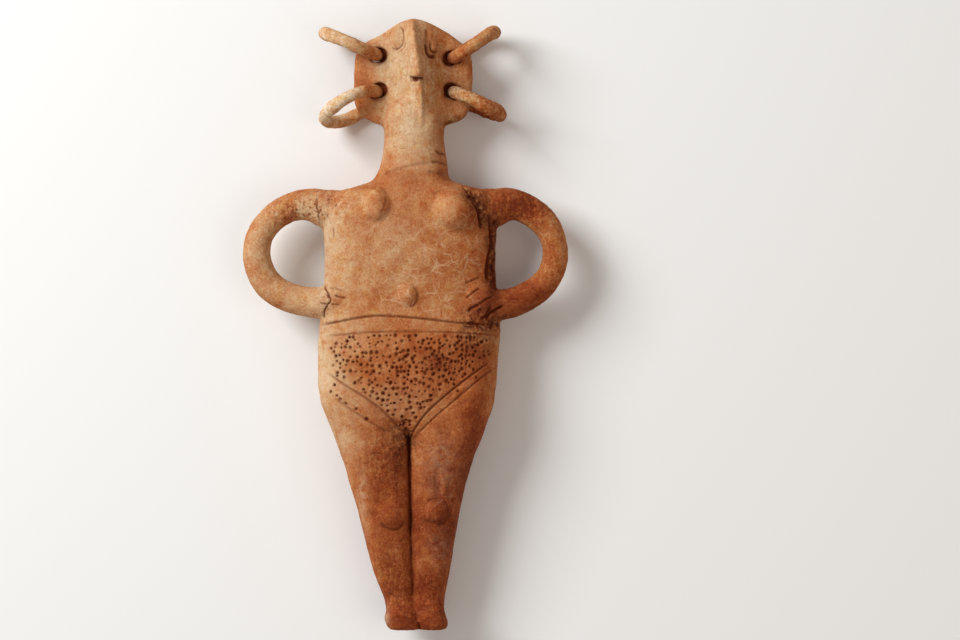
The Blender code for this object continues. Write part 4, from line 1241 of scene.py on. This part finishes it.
def layer(obj, name, values):
    """A named value at each point, for the material."""
    attribute = obj.data.attributes.new(name, "FLOAT", "POINT")
    attribute.data.foreach_set("value", np.clip(values, 0, 1).astype(np.float32))


def carried_over(points, values, new_points):
    """Values of the points nearest to the new ones."""
    tree = KDTree(len(points))
    for i, point in enumerate(points.tolist()):
        tree.insert(point, i)
    tree.balance()
    nearest = [tree.find(point)[1] for point in new_points.tolist()]
    return values[nearest]


def paint_figurine(body, dirt):
    """The layers that the clay's material mixes."""
    points = coordinates(body)
    layer(body, "tone", TONE_BASE + patches(points, TONES) + clouding(points, BODY_CLOUDS))
    # dirt and painted shade of lines, pricks, holes and the cut between the legs
    layer(body, "dirt", dirt)
    layer(body, "craze", patches(points, CRAZES))
    layer(body, "film", patches(points, FILMS))
    # stains and painted shadows, on the front only
    in_front = smoothstep(*DARKENED_DEPTH, points[:, 2] / BODY_DEPTH)
    layer(body, "stain_and_shadow", patches(points, STAINS_AND_SHADOWS) * in_front)
    layer(body, "rough", patches(points, ROUGH))


def fit_to_node(obj, node):
    """Lays the object, still in millimetres from the soles, over the CAD node's box."""
    points = coordinates(obj) * MM
    low, high = (np.array(corner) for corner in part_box(node))
    size = points.max(0) - points.min(0)
    points = (points - points.min(0)) * (high - low) / size + low
    place(obj, points)


def make_figurine():
    body = modelled_body()
    points, dirt = carve_figurine(body)
    thin_out(body, BODY_TRIANGLES)
    paint_figurine(body, carried_over(points, dirt, coordinates(body)))
    fit_to_node(body, "figurine")
    body.data.shade_smooth()
    return body


def make_earring(name, ring, look):
    """A ring of rolled clay, hung against the outer side of its hole, lumpy from the rolling."""
    front_tone, near, turn, swell, fattest, lumps, grime, film, seed = look

    def shape(angle):
        outer = float(smoothstep(*FAT_PART, abs(math.remainder(angle - fattest, 2 * math.pi))))
        share = 1 + COIL_UNEVENNESS * math.sin(3 * angle + ring["points"]) + swell * outer
        return share, RING_DRIFT * math.sin(2 * angle + seed) * outer

    obj = torus(name + "_clay", ring, COIL, RING_STEPS, RING_SIDES, shape)
    _, out, _, _ = earring_frame(ring)
    points = coordinates(obj) + np.array(out) * (HOLE_CLEARANCE - TOUCH_GAP - COIL * COIL_UNEVENNESS / 2)
    normals = calm_normals(obj, 1)
    amount = lumps * clouding(points, RING_LUMPS, seed)
    amount -= lumps * RING_PIT_DEPTH * spots(points, RING_PITS, seed)
    gap = np.linalg.norm(points - np.array((*ring["hole"], MID_PLANE)), axis=1) / COIL
    clear = smoothstep(*LUMPS_BEGIN, gap)
    moved = points + normals * (amount * (STILL_SHARE + (1 - STILL_SHARE) * clear))[:, None]
    place(obj, moved)

    beside = smoothstep(*BESIDE_ENDS, gap)
    above = smoothstep(*RING_FRONT, moved[:, 2] / BODY_DEPTH)
    # the back of the ring is darker, as painted shade
    tone = front_tone + turn * (1 - above) + near * beside
    layer(obj, "tone", tone + clouding(points, RING_CLOUDS, seed))
    layer(obj, "dirt", GRIME_SHARE * grime * spots(points, GRIME_SPOTS, seed))
    bare = 1 - (1 - FILM_BESIDE) * beside
    layer(obj, "film", film * above * bare * spots(points, FILM_SPOTS, seed))
    layer(obj, "rough", np.full(len(points), RING_ROUGHNESS * lumps))
    for absent in ("craze", "stain_and_shadow"):
        layer(obj, absent, np.zeros(len(points)))
    fit_to_node(obj, name)
    obj.data.shade_smooth()
    return obj


def linear(red, green, blue):
    """A colour on a screen's scale (0 to 255) as Blender's linear values."""
    values = [v / 255 for v in (red, green, blue)]
    return (*(v / 12.92 if v <= 0.04045 else ((v + 0.055) / 1.055) ** 2.4 for v in values), 1.0)


def shades_of(*colours):
    """Stops of a colour ramp at even distances."""
    return [(i / (len(colours) - 1), linear(*colour)) for i, colour in enumerate(colours)]


BODY_SHADES = shades_of(
    (216, 188, 154), (203, 164, 124), (189, 131, 86), (172, 100, 55), (148, 74, 38), (118, 49, 22)
)
RING_SHADES = shades_of(
    (226, 210, 186), (210, 172, 130), (190, 136, 90), (174, 101, 55), (158, 80, 38), (124, 54, 23)
)
# colour of dirt, dark specks and painted shade in cuts and holes
DIRT_AND_SHADE = linear(94, 34, 10)
# colour of soot and of painted shadows
SOOT_AND_SHADOW = linear(70, 26, 14)
FILM = linear(212, 184, 150)
CRAZE = linear(222, 184, 148)
RUST = linear(236, 172, 142)
OCHRE = linear(255, 248, 206)
# The mottling: amount, then size (mm), detail, roughness and shift of each noise.
MOTTLES = ((0.6, 5.0, 5.0, 0.62, 0), (0.32, 1.9, 3.0, 0.62, 12), (0.62, 0.6, 3.0, 0.62, 33))
ROUGH_MOTTLE = (1.2, 0.9, 4.0, 0.65, 60)
STREAK_MOTTLE = (1.0, 1.0, 3.0, 0.6)
STREAK_LENGTHS = (1.0, 5.0, 1.0)
STREAKS_LEFT = 0.1  # share of the streaks where the clay isn't rough
# What comes and goes: size (mm), detail, roughness and shift of its noise, the noise's values
# where it begins and is full, and its strength.
BLOTCHES = {
    "rust": (2.2, 4.0, 0.6, 0, 0.52, 0.68, 0.45),
    "ochre": (3.2, 4.0, 0.6, 80, 0.50, 0.66, 0.6),
    "film": (2.4, 6.0, 0.7, 0, 0.34, 0.60, 1.0),
    "film everywhere": (1.7, 5.0, 0.75, 0, 0.58, 0.72, 0.15),
    "specks": (0.5, 2.0, 0.5, 0, 0.60, 0.72, 0.36),
    "pits": (1.1, 2.0, 0.5, 20, 0.55, 0.66, 0.7),
    "glints": (0.55, 2.0, 0.5, 40, 0.64, 0.76, 0.3),
    "stain_and_shadow": (1.6, 5.0, 0.7, 0, 0.34, 0.60, 1.0),
    "dirt": (0.9, 3.0, 0.55, 0, 0.16, 0.42, 1.0),
    "thin root lines": (3.6, 2.0, 0.55, 0, 0.40, 0.54, 1.0),
    "root lines": (4.5, 3.0, 0.55, 0, 0.36, 0.56, 0.6),
}
# The grain in the bump map: share, then size (mm), detail and roughness of each noise.
GRAINS = ((1.0, 0.35, 5.0, 0.7), (1.6, 1.4, 4.0, 0.6))
BUMP_STRENGTH = 0.7
BUMP_DEPTH = 0.2
CLAY_ROUGHNESS = 0.9
CLAY_SHINE = 0.12
CRAZE_BEND = 7.0  # size of the bends in the root lines
CRAZE_PUSH = 3.0
CRAZE_CELLS = ((9.0, 0.34), (5.0, 0.26))  # size of the cells and thickness of the lines round them
MIX_SOCKETS = (0, 6, 7)  # share and the two colours of a mix node
MIX_RESULT = 2
FLOOR_ROUGHNESS = 0.95
FLOOR_COLOUR = (0.91, 0.95, 0.98, 1.0)
SKY_COLOUR = (1.0, 0.91, 0.83, 1.0)


class Clay:
    """A procedural fired-clay material, built from the layers at a mesh's points."""

    def __init__(self, name):
        self.material = bpy.data.materials.new(name)
        self.material.use_nodes = True
        self.tree = self.material.node_tree
        self.shader = self.tree.nodes["Principled BSDF"]
        place_of = self.add("ShaderNodeTexCoord").outputs["Object"]
        scaled = self.add("ShaderNodeVectorMath", {0: place_of, "Scale": 1 / MM}, operation="SCALE")
        self.place = scaled.outputs[0]

    def add(self, kind, inputs=None, **settings):
        """A new node with these settings and inputs."""
        made = self.tree.nodes.new(kind)
        for key, value in settings.items():
            setattr(made, key, value)
        for key, value in (inputs or {}).items():
            self.put(made.inputs[key], value)
        return made

    def put(self, socket, value):
        """Links a socket to another's output, or sets it to a value."""
        if isinstance(value, bpy.types.NodeSocket):
            self.tree.links.new(value, socket)
        else:
            socket.default_value = value

    def layer(self, name):
        return self.add("ShaderNodeAttribute", attribute_name=name).outputs["Fac"]

    def noise(self, size, detail, roughness, shift=0, place=None):
        """Noise between 0 and 1 with features of this size (mm)."""
        place = place or self.shifted(shift)
        inputs = {"Vector": place, "Scale": 1 / size, "Detail": detail, "Roughness": roughness}
        return self.add("ShaderNodeTexNoise", inputs).outputs["Fac"]

    def blotches(self, name):
        """Blotches of one kind, from 0 to their strength."""
        size, detail, roughness, shift, begins, full, strength = BLOTCHES[name]
        return self.times(self.window(self.noise(size, detail, roughness, shift), begins, full), strength)

    def math(self, operation, first, second):
        return self.add("ShaderNodeMath", {0: first, 1: second}, operation=operation).outputs[0]

    def plus(self, first, second):
        return self.math("ADD", first, second)

    def times(self, first, second):
        return self.math("MULTIPLY", first, second)

    def window(self, value, low, high):
        """0 below the first limit and 1 above the second, or the other way round."""
        inputs = {"Value": value, "From Min": min(low, high), "From Max": max(low, high)}
        if low > high:
            inputs |= {"To Min": 1.0, "To Max": 0.0}
        return self.add("ShaderNodeMapRange", inputs, interpolation_type="SMOOTHSTEP").outputs["Result"]

    def spread(self, noise, amount):
        """Noise between 0 and 1 as a change of up to this amount, about nought."""
        return self.times(self.math("SUBTRACT", noise, 0.5), amount)

    def mix(self, share, first, second, blend="MIX"):
        made = self.add("ShaderNodeMix", data_type="RGBA", blend_type=blend)
        for socket, value in zip(MIX_SOCKETS, (share, first, second)):
            self.put(made.inputs[socket], value)
        return made.outputs[MIX_RESULT]

    def ramp(self, value, shades):
        made = self.add("ShaderNodeValToRGB")
        self.put(made.inputs[0], value)
        stops = made.color_ramp.elements
        for at, colour in shades[1:-1]:
            stops.new(at).color = colour
        stops[0].color = shades[0][1]
        stops[-1].color = shades[-1][1]
        return made.outputs["Color"]

    def craze_lines(self):
        """Fine branching whitish lines, as left by roots and salts."""
        inputs = {"Vector": self.place, "Scale": 1 / CRAZE_BEND, "Detail": 2.0}
        bend = self.add("ShaderNodeTexNoise", inputs).outputs["Color"]
        inputs = {0: bend, 1: (CRAZE_PUSH,) * 3, 2: self.place}
        push = self.add("ShaderNodeVectorMath", inputs, operation="MULTIPLY_ADD").outputs[0]
        lines = []
        for size, thickness in CRAZE_CELLS:
            inputs = {"Vector": push, "Scale": 1 / size}
            cells = self.add("ShaderNodeTexVoronoi", inputs, feature="DISTANCE_TO_EDGE")
            lines.append(self.window(cells.outputs["Distance"], thickness / size, 0.0))
        both = self.math("MAXIMUM", lines[0], self.times(lines[1], self.blotches("thin root lines")))
        return self.times(both, self.blotches("root lines"))

    def finish(self, shades):
        """The whole clay: mottled body, film, root lines, specks, stains with painted shadows, and dirt
        with painted shade in what is cut.
        """
        value = self.layer("tone")
        for amount, *look in MOTTLES:
            value = self.plus(value, self.spread(self.noise(*look), amount))
        amount, *look = ROUGH_MOTTLE
        value = self.plus(value, self.times(self.spread(self.noise(*look), amount), self.layer("rough")))
        amount, *look = STREAK_MOTTLE
        streaks = self.spread(self.noise(*look, place=self.stretched(STREAK_LENGTHS)), amount)
        value = self.plus(value, self.times(streaks, self.plus(self.layer("rough"), STREAKS_LEFT)))
        colour = self.ramp(value, shades)
        for name, tint in (("rust", RUST), ("ochre", OCHRE)):
            colour = self.mix(self.blotches(name), colour, tint, "MULTIPLY")
        film = self.times(self.layer("film"), self.blotches("film"))
        film = self.math("MAXIMUM", film, self.blotches("film everywhere"))
        pits = self.times(self.blotches("pits"), self.layer("rough"))
        for share, tint in (
            (film, FILM),
            (self.times(self.craze_lines(), self.layer("craze")), CRAZE),
            (self.math("MAXIMUM", self.blotches("specks"), pits), DIRT_AND_SHADE),
            (self.blotches("glints"), CRAZE),
            # soot and painted shadows
            (self.times(self.layer("stain_and_shadow"), self.blotches("stain_and_shadow")), SOOT_AND_SHADOW),
            # dirt and painted shade in lines, holes and the cut between the legs
            (self.times(self.layer("dirt"), self.blotches("dirt")), DIRT_AND_SHADE),
        ):
            colour = self.mix(share, colour, tint)
        self.put(self.shader.inputs["Base Color"], colour)
        self.put(self.shader.inputs["Roughness"], CLAY_ROUGHNESS)
        self.put(self.shader.inputs["Specular IOR Level"], CLAY_SHINE)
        height = 0.0
        for share, *look in GRAINS:
            height = self.plus(height, self.times(self.noise(*look), share))
        inputs = {"Strength": BUMP_STRENGTH, "Distance": BUMP_DEPTH * MM, "Height": height}
        self.put(self.shader.inputs["Normal"], self.add("ShaderNodeBump", inputs).outputs["Normal"])
        return self.material

    def stretched(self, lengths):
        """The place, with features drawn out to these lengths (mm) on the three axes."""
        inputs = {0: self.place, 1: lengths}
        return self.add("ShaderNodeVectorMath", inputs, operation="DIVIDE").outputs[0]

    def shifted(self, by):
        """The place, moved so that equal noises differ."""
        if by == 0:
            return self.place
        inputs = {0: self.place, 1: (by, by, by)}
        return self.add("ShaderNodeVectorMath", inputs, operation="ADD").outputs[0]


def make_floor():
    build = bmesh.new()
    bmesh.ops.create_grid(build, x_segments=1, y_segments=1, size=FLOOR_HALF)
    floor = mesh_object("floor", build)
    material = bpy.data.materials.new("floor_white")
    material.use_nodes = True
    shader = material.node_tree.nodes["Principled BSDF"]
    shader.inputs["Base Color"].default_value = FLOOR_COLOUR
    shader.inputs["Roughness"].default_value = FLOOR_ROUGHNESS
    shader.inputs["Specular IOR Level"].default_value = 0.0
    floor.data.materials.append(material)


def make_light(name, at, size, power, colour):
    """A soft square light that faces the middle of the figurine."""
    lamp = bpy.data.lights.new(name, "AREA")
    lamp.size = size
    lamp.energy = power
    lamp.color = colour
    obj = bpy.data.objects.new(name, lamp)
    obj.location = at
    obj.rotation_euler = (-Vector(at)).to_track_quat("-Z", "Y").to_euler()
    bpy.context.scene.collection.objects.link(obj)


def light_scene():
    world = bpy.data.worlds.new("studio")
    world.use_nodes = True
    background = world.node_tree.nodes["Background"]
    background.inputs["Color"].default_value = SKY_COLOUR
    background.inputs["Strength"].default_value = SKY_STRENGTH
    bpy.context.scene.world = world
    bpy.context.scene.view_settings.view_transform = "Standard"
    for light in LIGHTS:
        make_light(*light)


def make_camera():
    """Straight above the figurine, with the whole photograph's width in view at its mid depth."""
    lens = bpy.data.cameras.new("camera")
    lens.sensor_width = SENSOR_WIDTH
    lens.lens = lens.sensor_width * CAMERA_DISTANCE / VIEW_WIDTH
    obj = bpy.data.objects.new("camera", lens)
    obj.location = (*VIEW_CENTRE, MID_PLANE * MM + CAMERA_DISTANCE)
    bpy.context.scene.collection.objects.link(obj)
    bpy.context.scene.camera = obj


figurine = make_figurine()
clay = Clay("body_clay_look").finish(BODY_SHADES)
figurine.data.materials.clear()
figurine.data.materials.append(clay)
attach(figurine, "root")
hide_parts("figurine")

ring_clay = Clay("earring_clay_look").finish(RING_SHADES)
for name, ring in EARRINGS.items():
    earring = make_earring(name, ring, RING_LOOKS[name])
    earring.data.materials.append(ring_clay)
    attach(earring, "root")
    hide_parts(name)

make_floor()
light_scene()
make_camera()
